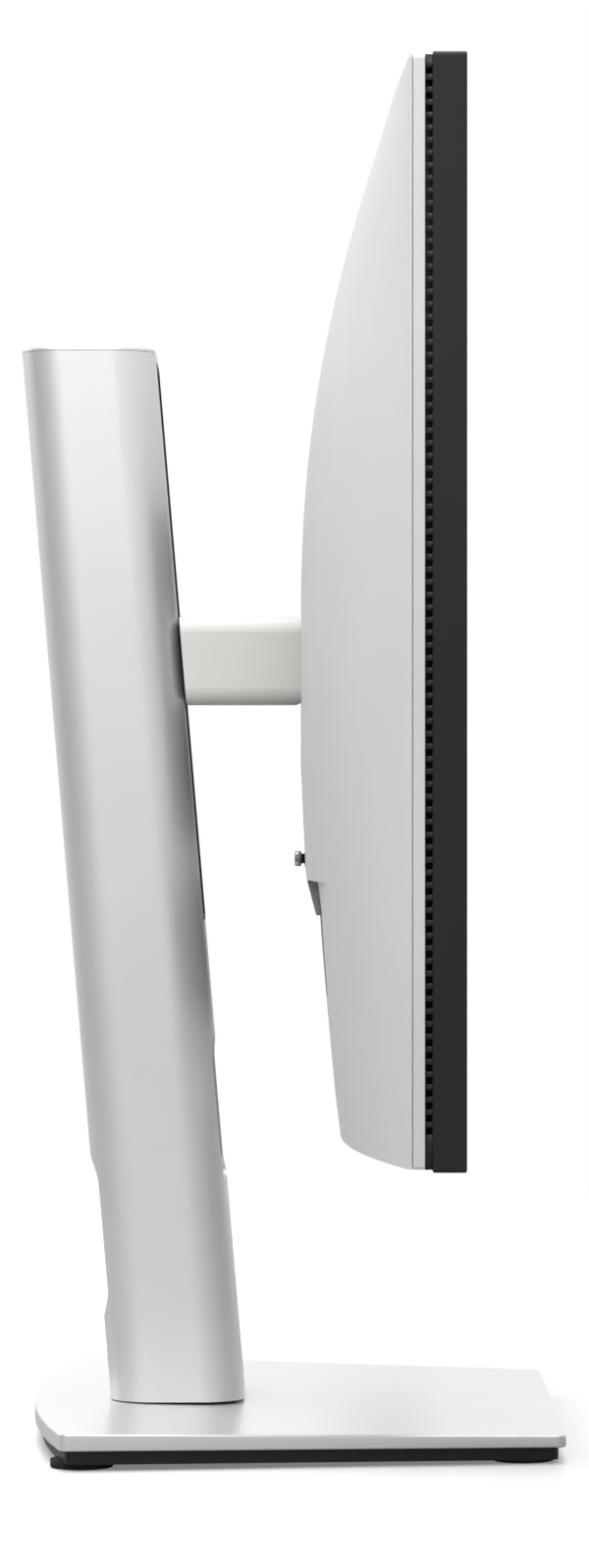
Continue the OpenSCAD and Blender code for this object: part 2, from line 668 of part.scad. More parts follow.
// ---------------------------------------------------------------- electronics
board_y = tray_y + 5;
module board(x0, x1, z0, z1) {
    box([x0, board_y, z0], [x1, board_y + 1.6, z1]);
    for (x = [x0 + 5, x1 - 5], z = [z0 + 5, z1 - 5]) translate([x, 0, z]) rod_y(tray_y, board_y, 2.5);
}

module main_board() color([0.1, 0.35, 0.2]) {
    board(-142, -60, arm_z - 60, arm_z + 60);
    box([-120, board_y + 1.6, arm_z - 10], [-90, board_y + 4, arm_z + 20]);
    box([-80, board_y + 1.6, arm_z + 30], [-66, board_y + 3.6, arm_z + 50]);
}

module power_board() color([0.35, 0.28, 0.15]) {
    board(66, 144, arm_z - 60, arm_z + 80);
    box([76, board_y + 1.6, arm_z], [104, board_y + 13, arm_z + 26]);
    for (i = [0:2]) translate([120, 0, arm_z - 40 + 18 * i]) rod_y(board_y + 1.6, board_y + 12, 7);
}

module board_shield() color([0.72, 0.73, 0.74]) difference() {
    box([-146, tray_y, arm_z - 66], [-56, board_y + 7, arm_z + 66]);
    box([-145.2, tray_y - 1, arm_z - 65.2], [-56.8, board_y + 6.2, arm_z + 65.2]);
}

// The sockets look down from the ceiling of the port bay.
bay_t = 2;
inlet_x = -86;
video_x = [-54, -30, -6];
usb_x = [20, 44, 68];
socket_y = -16.2;
inlet_h = chassis_low - bay_high - 0.6;
module socket_hole(x, w, d) box([x - w / 2, socket_y - d / 2, bay_high - 5], [x + w / 2, socket_y + d / 2, 400]);

module port_bay() color([0.53, 0.53, 0.55]) difference() {
    along_x(0.2 - bay_half, bay_half - 0.2) polygon(concat(
        [[bay_y, bay_high - 0.2], [bay_y, bay_low + 0.2]],
        [for (z = spread(bay_low + 0.2, bay_high - 0.2, 12)) [cover_y(0, z) - 0.6, z]]));
    box([bay_t - bay_half, bay_y + bay_t, bay_low + bay_t], [bay_half - bay_t, 20, bay_high - bay_t]);
    socket_hole(inlet_x, 28, 16);
    for (x = video_x) socket_hole(x, 15, 6);
    for (x = usb_x) socket_hole(x, 13, 7);
}

// Shell of a socket with its mouth down, a tongue or pins inside.
module socket_shell(x, w, d, h, wall) difference() {
    box([x - w / 2, socket_y - d / 2, bay_high - bay_t], [x + w / 2, socket_y + d / 2, bay_high + h]);
    box([x - w / 2 + wall, socket_y - d / 2 + wall, bay_high - bay_t - 1],
        [x + w / 2 - wall, socket_y + d / 2 - wall, bay_high + h - 2]);
}

module power_inlet() color([0.1, 0.1, 0.11]) {
    socket_shell(inlet_x, 27.6, 15.6, inlet_h, 1.5);
    for (x = [-7, 0, 7]) box([inlet_x + x - 1, socket_y - 2, bay_high + 4],
        [inlet_x + x + 1, socket_y + 2, bay_high + inlet_h - 1.5]);
}

module video_sockets() color([0.7, 0.7, 0.71]) for (x = video_x) {
    socket_shell(x, 14.6, 5.6, 10, 0.5);
    box([x - 5, socket_y - 0.7, bay_high], [x + 5, socket_y + 0.7, bay_high + 8.5]);
}

module usb_sockets() color([0.68, 0.68, 0.7]) for (x = usb_x) {
    socket_shell(x, 12.6, 6.6, 11, 0.5);
    box([x - 5, socket_y - 1.9, bay_high], [x + 5, socket_y - 0.1, bay_high + 9.5]);
}

// ---------------------------------------------------------------- controls
// The joystick rocks about stick_c in two rings, and its cap presses in along its stem.
stick_c = -14;
stick_tip = -0.1;
cap_back = -2.6;
cap_neck = 1.9;
stem_r = 1.2;
switch_t = 1.3;
switch_y = -19.5;
switch_face = switch_y + switch_t;
housing = 7;
ring_out = 5;
ring_in = 3.6;
ring_t = 1.5;
trunnion_r = 0.7;
button_back = -7.5;
plunger_r = 2;
module at_stick() translate([stick_x, 0, control_z]) children();

module joystick_board() color([0.1, 0.3, 0.18]) {
    box([stick_x - 9, switch_y, bay_high + 0.4], [power_x + 8, switch_face, control_z + 9]);
    translate([power_x, 0, control_z]) rod_y(switch_face, stick_c - 1, 4);
    for (x = [stick_x - 6, power_x + 5])
        translate([x, 0, control_z + housing]) rod_y(chassis_back, switch_y, 1.8);
    at_stick() difference() {
        box([-housing, switch_face, -housing], [housing, stick_c + 2, housing]);
        box([1.4 - housing, switch_y, 1.4 - housing], [housing - 1.4, stick_c + 3, housing - 1.4]);
        translate([0, stick_c, 0]) rod_x(-10, 10, trunnion_r + 0.15);
    }
}

module joystick_gimbal() color([0.85, 0.85, 0.83]) at_stick() translate([0, stick_c, 0]) {
    difference() {
        box([-ring_out, -ring_t, -ring_out], [ring_out, ring_t, ring_out]);
        box([-ring_in, -ring_out, -ring_in], [ring_in, ring_out, ring_in]);
        rod_z(-10, 10, trunnion_r + fit);
    }
    for (k = [0, 1]) mirror([k, 0, 0]) rod_x(ring_out, housing - 0.1, trunnion_r + 0.1);
}

module joystick_stem() color([0.75, 0.75, 0.77]) at_stick() translate([0, stick_c, 0]) {
    box([-2.9, 0.2 - ring_t, -2.9], [2.9, ring_t - 0.2, 2.9]);
    for (k = [0, 1]) mirror([0, 0, k]) rod_z(2.9, ring_out - 0.1, trunnion_r);
    rod_y(ring_t - 0.2, cap_back - stick_c - 1, stem_r);
}

module joystick_cap() color([0.45, 0.45, 0.46]) at_stick() difference() {
    union() {
        rod_y(-10.5, cap_back, cap_neck);
        rod_y(cap_back, stick_tip, stick_r);
    }
    rod_y(-11, cap_back - 0.4, stem_r + fit);
}

module power_button() color([0.8, 0.8, 0.81]) translate([power_x, 0, control_z]) {
    rod_y(button_back, cover_y(power_x, control_z) + 0.3, power_r);
    rod_y(stick_c - 0.3, button_back, plunger_r);
}

module power_lamp() color([0.9, 0.95, 1])
    box([lamp_x - 2.9, front_y + 0.2, lamp_z - 0.5], [lamp_x + 2.9, front_y + 3, lamp_z + 0.5]);

module panel_screws() color([0.7, 0.7, 0.72])
    for (p = frame_screws) translate(p) {
        rod_y(tray_y + sheet_t, tray_y + sheet_t + 1.6, 2.8);
        rod_y(inner_tray_y + 0.1, tray_y + sheet_t, 1.5);
    }

base_plate();
base_weight();
base_skirt();
base_feet();
swivel_race();
base_screws();
column_thumbscrew();
column_shell();
column_cap();
column_foot();
cable_duct();
guide_rails();
rail_back();
spring_strip();
column_screws();
slide_block();
glide_pads();
spring_axle();
spring_drum();
arm_frame();
arm_screws();
arm_cover();
tilt_pin();
tilt_washers();
tilt_bracket();
pivot_ring();
pivot_nut();
stand_plate();
release_button();
release_latch();
rear_chassis();
cover_well();
rear_cover();
mid_band();
vent_strip();
front_frame();
screen_glass();
diffuser_sheets();
light_guide();
led_strip();
back_reflector();
panel_tray();
main_board();
power_board();
board_shield();
port_bay();
power_inlet();
video_sockets();
usb_sockets();
joystick_board();
joystick_gimbal();
joystick_stem();
joystick_cap();
power_button();
power_lamp();
panel_screws();
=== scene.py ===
# %% [markdown]
# # A desktop monitor on a leaning column stand
#
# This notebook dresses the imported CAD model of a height-adjustable monitor for a studio picture. The CAD
# model says where every part is and how it moves. Here each part that can be seen gets a finer mesh, with
# rounded edges and real small shapes, and every part gets a finish.

import json
import math

import bmesh
import bpy
from mathutils import Matrix, Vector

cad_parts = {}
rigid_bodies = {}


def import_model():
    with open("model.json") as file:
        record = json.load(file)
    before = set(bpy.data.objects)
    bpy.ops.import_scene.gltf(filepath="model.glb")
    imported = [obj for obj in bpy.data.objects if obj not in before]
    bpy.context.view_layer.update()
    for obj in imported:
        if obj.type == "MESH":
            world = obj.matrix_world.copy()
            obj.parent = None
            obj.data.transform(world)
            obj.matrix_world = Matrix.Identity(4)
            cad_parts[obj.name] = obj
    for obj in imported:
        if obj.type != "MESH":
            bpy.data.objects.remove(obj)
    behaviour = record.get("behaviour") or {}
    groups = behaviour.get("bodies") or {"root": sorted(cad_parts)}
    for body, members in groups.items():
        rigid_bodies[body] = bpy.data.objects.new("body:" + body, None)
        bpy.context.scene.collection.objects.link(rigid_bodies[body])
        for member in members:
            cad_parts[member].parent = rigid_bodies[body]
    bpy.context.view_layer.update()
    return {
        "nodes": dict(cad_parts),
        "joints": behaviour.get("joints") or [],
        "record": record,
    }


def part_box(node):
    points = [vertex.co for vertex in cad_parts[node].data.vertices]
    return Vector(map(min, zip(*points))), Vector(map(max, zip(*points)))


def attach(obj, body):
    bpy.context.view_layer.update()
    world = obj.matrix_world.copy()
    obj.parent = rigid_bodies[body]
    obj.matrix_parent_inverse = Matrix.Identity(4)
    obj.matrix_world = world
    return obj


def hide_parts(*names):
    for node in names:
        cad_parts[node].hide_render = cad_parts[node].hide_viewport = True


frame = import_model()
bodies_of_nodes = {n: b for b, ns in frame["record"]["behaviour"]["bodies"].items() for n in ns}
slots_of_nodes = {row["node"]: row["material_slot"] for row in frame["record"]["subparts"]}

# %% [markdown]
# The meshes are drawn in millimetres, like the CAD, and brought to metres at the end by one number. The
# levels of the head are read from the CAD boxes, so the looks stay tied to the model. Typing them in
# again would work too, but then they could drift apart.

# %% Sizes read from the frame
MM = 0.001


def box_mm(node):
    low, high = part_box(node)
    return low / MM, high / MM


frame_low, frame_high = box_mm("front_frame")
band_low, band_high = box_mm("mid_band")
vent_low, vent_high = box_mm("vent_strip")
cover_low, cover_high = box_mm("rear_cover")
glass_low, glass_high = box_mm("screen_glass")
shell_low, shell_high = box_mm("column_shell")
head_w = frame_high.x - frame_low.x
head_h = frame_high.z - frame_low.z
half_w = head_w / 2
head_bottom = frame_low.z
head_top = frame_high.z
arm_z = 1000 * next(j for j in frame["joints"] if j["name"] == "tilt")["pos_m"][2]
print("head", round(head_w, 1), "x", round(head_h, 1), "arm at", round(arm_z, 1))

# %% [markdown]
# The camera stands to the left of the monitor at the height of the arm, a little over two metres away,
# and looks straight across it. A long lens keeps the perspective flat, as a product studio would. The
# same picture could be made with an orthographic camera, but then the base would lose its depth.

# %% Camera
camera_place = Vector((-2.180, 0.0, 0.243))
camera_pitch = math.radians(0.157)
camera_data = bpy.data.cameras.new("studio_camera")
camera_data.lens = 135.93
camera_data.sensor_width = 36.0
camera_data.clip_start = 0.05
camera_data.clip_end = 60.0
camera = bpy.data.objects.new("studio_camera", camera_data)
camera.location = camera_place
camera.rotation_euler = (math.pi / 2 - camera_pitch, 0.0, -math.pi / 2)
bpy.context.scene.collection.objects.link(camera)
bpy.context.scene.camera = camera
bpy.context.scene.view_settings.view_transform = "Standard"
print("camera", tuple(camera_place), "lens", camera_data.lens)

# %% [markdown]
# The room is a plain white one. Seen directly it is pure white. As a light it is softer, brighter ahead
# of and behind the monitor and overhead, and dimmer at the two sides, which draws the long dark bands on
# the metal column. A picture of a studio could light it as well, but a gradient made of a few sums needs
# no file.

# %% Room
AMBIENT = 0.17
FACING = 0.46
BEHIND = 0.85
OVERHEAD = 0.34
room = bpy.data.worlds.new("studio_room")
room.use_nodes = True
bpy.context.scene.world = room
room_nodes = room.node_tree.nodes
room_links = room.node_tree.links
room_nodes.clear()


def room_math(operation, first, second=0.0, third=0.0):
    """One sum on directions in the room. Each value is a number or another node's output."""
    node = room_nodes.new("ShaderNodeMath")
    node.operation = operation
    for socket, value in zip(node.inputs, (first, second, third)):
        if isinstance(value, float):
            socket.default_value = value
        else:
            room_links.new(value, socket)
    return node.outputs[0]


direction = room_nodes.new("ShaderNodeTexCoord")
split = room_nodes.new("ShaderNodeSeparateXYZ")
room_links.new(direction.outputs["Generated"], split.inputs[0])
ahead = room_math("MAXIMUM", room_math("MULTIPLY", split.outputs["X"], -1.0), 0.0)
behind = room_math("MAXIMUM", split.outputs["X"], 0.0)
above = room_math("MAXIMUM", split.outputs["Z"], 0.0)
glow = room_math("MULTIPLY_ADD", room_math("POWER", ahead, 2.0), FACING, AMBIENT)
glow = room_math("MULTIPLY_ADD", room_math("POWER", behind, 2.0), BEHIND, glow)
glow = room_math("MULTIPLY_ADD", above, OVERHEAD, glow)
soft_room = room_nodes.new("ShaderNodeBackground")
soft_room.inputs["Color"].default_value = (1.0, 1.0, 1.0, 1.0)
room_links.new(glow, soft_room.inputs["Strength"])
white_room = room_nodes.new("ShaderNodeBackground")
white_room.inputs["Color"].default_value = (1.0, 1.0, 1.0, 1.0)
white_room.inputs["Strength"].default_value = 1.0
seen = room_nodes.new("ShaderNodeLightPath")
choose = room_nodes.new("ShaderNodeMixShader")
room_out = room_nodes.new("ShaderNodeOutputWorld")
room_links.new(seen.outputs["Is Camera Ray"], choose.inputs[0])
room_links.new(soft_room.outputs[0], choose.inputs[1])
room_links.new(white_room.outputs[0], choose.inputs[2])
room_links.new(choose.outputs[0], room_out.inputs["Surface"])
print("room nodes", len(room_nodes))

# %% [markdown]
# Three soft boxes do the rest: a large one high on the camera's side, close enough that the top of the
# monitor gets more light than the foot, one overhead that keeps the floor white, and one behind that
# fills the dark gap between the column and the head. Area lamps are used because their size sets how soft
# a shadow is.

# %% Soft boxes


def soft_box(name, place, aim, width, power):
    data = bpy.data.lights.new(name, "AREA")
    data.shape = "SQUARE"
    data.size = width
    data.energy = power
    lamp = bpy.data.objects.new(name, data)
    lamp.location = place
    lamp.rotation_mode = "QUATERNION"
    lamp.rotation_quaternion = (Vector(aim) - Vector(place)).to_track_quat("-Z", "Y")
    lamp.visible_camera = False
    bpy.context.scene.collection.objects.link(lamp)
    print("soft box", name, width, "m", power, "W")
    return lamp


soft_box("side_box", (-0.90, 0.30, 0.95), (0.0, 0.0, 0.30), 0.7, 6.0)
soft_box("top_box", (0.1, 0.1, 2.0), (0.0, 0.0, 0.0), 1.4, 26.0)
soft_box("rear_box", (0.9, 1.5, 0.9), (0.0, 0.0, 0.28), 0.9, 4.0)

# %% [markdown]
# The floor is a round sheet of white paper that fades out at its rim, so that no edge shows behind the
# monitor. A curved backdrop would do the same in one view, but would stand in the way when the monitor is
# seen from behind. The paper looks white but throws little light back, as if it stood far from the
# monitor, so the low edges stay darker than the high ones. A grey floor would do that too, but it would
# show as grey.

# %% Floor
FLOOR_RADIUS = 1.5
FADE_START = 0.7
PAPER_SEEN = 0.93
PAPER_BOUNCE = 0.34
PAPER_GLOW = 0.20
floor_mesh = bpy.data.meshes.new("floor")
floor_shape = bmesh.new()
bmesh.ops.create_circle(floor_shape, cap_ends=True, segments=96, radius=FLOOR_RADIUS)
floor_shape.to_mesh(floor_mesh)
floor_shape.free()
floor = bpy.data.objects.new("floor", floor_mesh)
floor.location.z = -0.0002
bpy.context.scene.collection.objects.link(floor)
paper = bpy.data.materials.new("white_paper")
paper.use_nodes = True
paper_nodes = paper.node_tree.nodes
paper_links = paper.node_tree.links
paper_shader = paper_nodes["Principled BSDF"]
paper_shader.inputs["Emission Color"].default_value = (1.0, 1.0, 1.0, 1.0)
paper_shader.inputs["Roughness"].default_value = 0.42
paper_shader.inputs["Specular IOR Level"].default_value = 0.22
paper_place = paper_nodes.new("ShaderNodeTexCoord")
paper_length = paper_nodes.new("ShaderNodeVectorMath")
paper_length.operation = "LENGTH"
paper_fade = paper_nodes.new("ShaderNodeMapRange")
paper_fade.interpolation_type = "SMOOTHSTEP"
paper_fade.inputs["From Min"].default_value = FADE_START
paper_fade.inputs["From Max"].default_value = FLOOR_RADIUS - 0.05
paper_fade.inputs["To Min"].default_value = 1.0
paper_fade.inputs["To Max"].default_value = 0.0
paper_links.new(paper_place.outputs["Object"], paper_length.inputs[0])
paper_links.new(paper_length.outputs["Value"], paper_fade.inputs["Value"])
paper_links.new(paper_fade.outputs[0], paper_shader.inputs["Alpha"])
paper_seen = paper_nodes.new("ShaderNodeLightPath")
paper_white = paper_nodes.new("ShaderNodeMix")
paper_white.data_type = "RGBA"
paper_white.inputs["A"].default_value = (PAPER_BOUNCE, PAPER_BOUNCE, PAPER_BOUNCE, 1.0)
paper_white.inputs["B"].default_value = (PAPER_SEEN, PAPER_SEEN, PAPER_SEEN, 1.0)
paper_glow = paper_nodes.new("ShaderNodeMath")
paper_glow.operation = "MULTIPLY"
paper_glow.inputs[1].default_value = PAPER_GLOW
paper_links.new(paper_seen.outputs["Is Camera Ray"], paper_white.inputs["Factor"])
paper_links.new(paper_white.outputs["Result"], paper_shader.inputs["Base Color"])
paper_links.new(paper_seen.outputs["Is Camera Ray"], paper_glow.inputs[0])
paper_links.new(paper_glow.outputs[0], paper_shader.inputs["Emission Strength"])
floor_mesh.materials.append(paper)
print("floor", 2 * FLOOR_RADIUS, "m across")

# %% [markdown]
# Nothing made in a factory has one flat colour. Moulded plastic has a fine grain and slightly uneven
# gloss, and blasted metal sparkles a little. One node group gives all of that: fine noise for the grain
# and the gloss, and wide soft noise that leans the colour towards a second shade. A baked picture could
# hold the same detail, but noise stays sharp at any distance.

# %% Grain group


def new_group(name, inputs, outputs):
    """An empty shader group with its sockets. Inputs are (label, kind, value) and outputs (label, kind)."""
    group = bpy.data.node_groups.new(name, "ShaderNodeTree")
    for label, kind, value in inputs:
        socket = group.interface.new_socket(label, in_out="INPUT", socket_type=kind)
        socket.default_value = value
    for label, kind in outputs:
        group.interface.new_socket(label, in_out="OUTPUT", socket_type=kind)
    return group, group.nodes.new("NodeGroupInput"), group.nodes.new("NodeGroupOutput")


COLOR = "NodeSocketColor"
NUMBER = "NodeSocketFloat"
VECTOR = "NodeSocketVector"
WHITE = (0.8, 0.8, 0.8, 1.0)
grain_group, grain_in, grain_out = new_group(
    "fine_grain",
    [("Color", COLOR, WHITE), ("Second Color", COLOR, WHITE), ("Stretch", VECTOR, (1.0, 1.0, 1.0)),
     ("Grain Scale", NUMBER, 2500.0), ("Cloud Scale", NUMBER, 14.0), ("Roughness", NUMBER, 0.5),
     ("Gloss Change", NUMBER, 0.1), ("Depth", NUMBER, 0.2)],
    [("Color", COLOR), ("Roughness", NUMBER), ("Normal", VECTOR)],
)
grain_place = grain_group.nodes.new("ShaderNodeTexCoord")
grain_stretch = grain_group.nodes.new("ShaderNodeVectorMath")
grain_stretch.operation = "MULTIPLY"
grain_noise = grain_group.nodes.new("ShaderNodeTexNoise")
grain_noise.inputs["Detail"].default_value = 2.0
cloud_noise = grain_group.nodes.new("ShaderNodeTexNoise")
cloud_noise.inputs["Detail"].default_value = 3.0
cloud_range = grain_group.nodes.new("ShaderNodeMapRange")
cloud_range.inputs["From Min"].default_value = 0.35
cloud_range.inputs["From Max"].default_value = 0.65
grain_mix = grain_group.nodes.new("ShaderNodeMix")
grain_mix.data_type = "RGBA"
gloss_centre = grain_group.nodes.new("ShaderNodeMath")
gloss_centre.operation = "SUBTRACT"
gloss_centre.inputs[1].default_value = 0.5
gloss = grain_group.nodes.new("ShaderNodeMath")
gloss.operation = "MULTIPLY_ADD"
gloss.use_clamp = True
grain_bump = grain_group.nodes.new("ShaderNodeBump")
grain_bump.inputs["Distance"].default_value = 0.00006
links = grain_group.links
links.new(grain_place.outputs["Object"], grain_stretch.inputs[0])
links.new(grain_in.outputs["Stretch"], grain_stretch.inputs[1])
links.new(grain_stretch.outputs[0], grain_noise.inputs["Vector"])
links.new(grain_in.outputs["Grain Scale"], grain_noise.inputs["Scale"])
links.new(grain_place.outputs["Object"], cloud_noise.inputs["Vector"])
links.new(grain_in.outputs["Cloud Scale"], cloud_noise.inputs["Scale"])
links.new(cloud_noise.outputs[0], cloud_range.inputs["Value"])
links.new(cloud_range.outputs[0], grain_mix.inputs["Factor"])
links.new(grain_in.outputs["Color"], grain_mix.inputs["A"])
links.new(grain_in.outputs["Second Color"], grain_mix.inputs["B"])
links.new(grain_noise.outputs[0], gloss_centre.inputs[0])
links.new(gloss_centre.outputs[0], gloss.inputs[0])
links.new(grain_in.outputs["Gloss Change"], gloss.inputs[1])
links.new(grain_in.outputs["Roughness"], gloss.inputs[2])
links.new(grain_noise.outputs[0], grain_bump.inputs["Height"])
links.new(grain_in.outputs["Depth"], grain_bump.inputs["Strength"])
links.new(grain_mix.outputs["Result"], grain_out.inputs["Color"])
links.new(gloss.outputs[0], grain_out.inputs["Roughness"])
links.new(grain_bump.outputs[0], grain_out.inputs["Normal"])
print("group", grain_group.name, len(grain_group.nodes), "nodes")

# %% [markdown]
# Corners are touched and rubbed more than faces, so their finish is a little lighter or darker and
# smoother. Cycles knows how sharply a mesh bends at each point, and a second group turns that into a worn
# colour and gloss, broken up by noise. Painting the wear by hand would follow a story better, but it
# can't be reused.

# %% Edge wear group
wear_group, wear_in, wear_out = new_group(
    "edge_wear",
    [("Color", COLOR, WHITE), ("Roughness", NUMBER, 0.5), ("Worn Color", COLOR, WHITE),
     ("Worn Roughness", NUMBER, 0.3), ("Amount", NUMBER, 0.3)],
    [("Color", COLOR), ("Roughness", NUMBER)],
)
bend = wear_group.nodes.new("ShaderNodeNewGeometry")
bend_range = wear_group.nodes.new("ShaderNodeMapRange")
bend_range.inputs["From Min"].default_value = 0.52
bend_range.inputs["From Max"].default_value = 0.62
rub_place = wear_group.nodes.new("ShaderNodeTexCoord")
rub_noise = wear_group.nodes.new("ShaderNodeTexNoise")
rub_noise.inputs["Scale"].default_value = 90.0
rub_noise.inputs["Detail"].default_value = 4.0
rub = wear_group.nodes.new("ShaderNodeMath")
rub.operation = "MULTIPLY"
rub_amount = wear_group.nodes.new("ShaderNodeMath")
rub_amount.operation = "MULTIPLY"
rub_amount.use_clamp = True
wear_mix = wear_group.nodes.new("ShaderNodeMix")
wear_mix.data_type = "RGBA"
wear_gloss = wear_group.nodes.new("ShaderNodeMix")
links = wear_group.links
links.new(bend.outputs["Pointiness"], bend_range.inputs["Value"])
links.new(rub_place.outputs["Object"], rub_noise.inputs["Vector"])
links.new(bend_range.outputs[0], rub.inputs[0])
links.new(rub_noise.outputs[0], rub.inputs[1])
links.new(rub.outputs[0], rub_amount.inputs[0])
links.new(wear_in.outputs["Amount"], rub_amount.inputs[1])
links.new(rub_amount.outputs[0], wear_mix.inputs["Factor"])
links.new(wear_in.outputs["Color"], wear_mix.inputs["A"])
links.new(wear_in.outputs["Worn Color"], wear_mix.inputs["B"])
links.new(rub_amount.outputs[0], wear_gloss.inputs["Factor"])
links.new(wear_in.outputs["Roughness"], wear_gloss.inputs["A"])
links.new(wear_in.outputs["Worn Roughness"], wear_gloss.inputs["B"])
links.new(wear_mix.outputs["Result"], wear_out.inputs["Color"])
links.new(wear_gloss.outputs["Result"], wear_out.inputs["Roughness"])
print("group", wear_group.name, len(wear_group.nodes), "nodes")

# %% [markdown]
# A finish is a material built from the two groups and one shader. Each call gives the colour of the part,
# the second shade it leans to, its gloss and how metallic it is. Writing every material out node by node
# would be longer and no clearer.

# %% Finish maker
PLAIN = (1.0, 1.0, 1.0)
finishes = {}


def finish(slot, color, second, roughness, metallic=0.0, grain=2500.0, cloud=14.0, change=0.12, depth=0.2,
           stretch=PLAIN, wear=0.3, worn=None, coat=0.0, specular=0.5):
    made = bpy.data.materials.new(slot)
    made.use_nodes = True
    nodes = made.node_tree.nodes
    join = made.node_tree.links.new
    shader = nodes["Principled BSDF"]
    shader.inputs["Metallic"].default_value = metallic
    shader.inputs["Coat Weight"].default_value = coat
    shader.inputs["Specular IOR Level"].default_value = specular
    fine = nodes.new("ShaderNodeGroup")
    fine.node_tree = grain_group
    fine.inputs["Color"].default_value = (*color, 1.0)
    fine.inputs["Second Color"].default_value = (*second, 1.0)
    fine.inputs["Stretch"].default_value = stretch
    fine.inputs["Grain Scale"].default_value = grain
    fine.inputs["Cloud Scale"].default_value = cloud
    fine.inputs["Roughness"].default_value = roughness
    fine.inputs["Gloss Change"].default_value = change
    fine.inputs["Depth"].default_value = depth
    edges = nodes.new("ShaderNodeGroup")
    edges.node_tree = wear_group
    lighter = worn or tuple(min(1.0, 1.15 * c + 0.02) for c in color)
    edges.inputs["Worn Color"].default_value = (*lighter, 1.0)
    edges.inputs["Worn Roughness"].default_value = 0.7 * roughness
    edges.inputs["Amount"].default_value = wear
    join(fine.outputs["Color"], edges.inputs["Color"])
    join(fine.outputs["Roughness"], edges.inputs["Roughness"])
    join(edges.outputs["Color"], shader.inputs["Base Color"])
    join(edges.outputs["Roughness"], shader.inputs["Roughness"])
    join(fine.outputs["Normal"], shader.inputs["Normal"])
    finishes[slot] = made
    return made


print("finish maker ready")

# %% [markdown]
# The parts that face the light are silver-painted plastic, blasted aluminium with a clear coat, and a
# warm grey plastic on the arm. The cover's paint is not a metal to light, so its metallic stays at zero.
# The paint of the middle band has metal flakes in it, so it has a little, and the column and the base have
# a soft metallic gloss.

# %% Silver, aluminium and arm finishes
finish("silver_plastic", (0.74, 0.737, 0.74), (0.72, 0.715, 0.72), 0.46, grain=3200.0, depth=0.12)
finish("band_plastic", (0.78, 0.78, 0.785), (0.74, 0.74, 0.745), 0.30, metallic=0.25, depth=0.08)
finish("column_metal", (0.86, 0.855, 0.86), (0.83, 0.825, 0.83), 0.40, metallic=0.6, grain=4200.0,
       depth=0.16, change=0.1)
finish("base_metal", (0.87, 0.87, 0.875), (0.85, 0.85, 0.855), 0.29, metallic=0.65, grain=4200.0,
       depth=0.08, change=0.05)
finish("arm_plastic", (0.78, 0.772, 0.742), (0.76, 0.75, 0.72), 0.50, grain=3000.0, depth=0.14)
# This dark grey is painted shade: on the socket hood it stands in for the shade under the ledge.
finish("hood_plastic", (0.235, 0.235, 0.25), (0.215, 0.215, 0.23), 0.5, grain=2800.0, depth=0.2)
print(sorted(finishes))

# %% [markdown]
# The dark parts are moulded in black plastic with a fine grain; the feet are rubber, which is duller, and
# the plates behind the head are steel with a powder coat, whose skin is bumpier.

# %% Black plastic, rubber and powder coat
finish("black_plastic", (0.013, 0.014, 0.018), (0.010, 0.011, 0.014), 0.44, grain=2600.0, depth=0.3,
       worn=(0.04, 0.04, 0.045), specular=0.34)
finish("rubber", (0.014, 0.014, 0.015), (0.022, 0.022, 0.022), 0.82, grain=1400.0, depth=0.5, specular=0.3)
finish("bracket_metal", (0.045, 0.046, 0.05), (0.035, 0.036, 0.04), 0.52, grain=900.0, depth=0.7,
       worn=(0.2, 0.2, 0.21))
print(len(finishes), "finishes")

# %% [markdown]
# Bare metals differ in how they were worked. Rolled and turned steel has scratches that run one way, made
# here by stretching the grain noise; zinc plating is cloudier, and nickel on the sockets is smooth.

# %% Bare metals
finish("weight_steel", (0.30, 0.31, 0.33), (0.22, 0.22, 0.24), 0.5, metallic=1.0, stretch=(0.04, 1.0, 1.0),
       cloud=30.0, change=0.3)
finish("bearing_metal", (0.50, 0.51, 0.53), (0.42, 0.43, 0.45), 0.28, metallic=1.0, stretch=(1.0, 1.0, 8.0))
finish("screw_steel", (0.60, 0.61, 0.63), (0.52, 0.53, 0.56), 0.26, metallic=1.0, grain=1800.0, change=0.2)
finish("strip_steel", (0.60, 0.60, 0.57), (0.50, 0.49, 0.45), 0.18, metallic=1.0, stretch=(1.0, 1.0, 0.03))
finish("sheet_metal", (0.52, 0.53, 0.54), (0.42, 0.43, 0.45), 0.42, metallic=1.0, cloud=70.0, change=0.25)
finish("socket_metal", (0.58, 0.57, 0.55), (0.52, 0.51, 0.50), 0.2, metallic=1.0, grain=1500.0)
finish("cap_metal", (0.36, 0.36, 0.37), (0.31, 0.31, 0.32), 0.24, metallic=0.9, grain=1500.0, depth=0.04,
       change=0.05, wear=0.0)
print(len(finishes), "finishes")

# %% [markdown]
# Inside the head are pale slides, the film stack of the panel, its clear light guide, the strip of lamps
# and green boards. They hardly show, but they are seen through the vents and the window of the arm.

# %% Inner finishes
finish("pad_plastic", (0.80, 0.79, 0.72), (0.74, 0.73, 0.66), 0.45)
finish("film", (0.86, 0.87, 0.88), (0.80, 0.81, 0.83), 0.32, depth=0.05)
finish("acrylic", (0.80, 0.86, 0.86), (0.74, 0.82, 0.82), 0.08, depth=0.02, coat=0.4)
finish("led", (0.86, 0.80, 0.45), (0.78, 0.70, 0.34), 0.4, cloud=120.0)
finish("board", (0.015, 0.10, 0.05), (0.01, 0.07, 0.035), 0.3, grain=700.0, cloud=220.0, depth=0.5)
finish("lamp", (0.72, 0.76, 0.80), (0.66, 0.70, 0.76), 0.12, depth=0.05, coat=0.5)
print(len(finishes), "finishes")

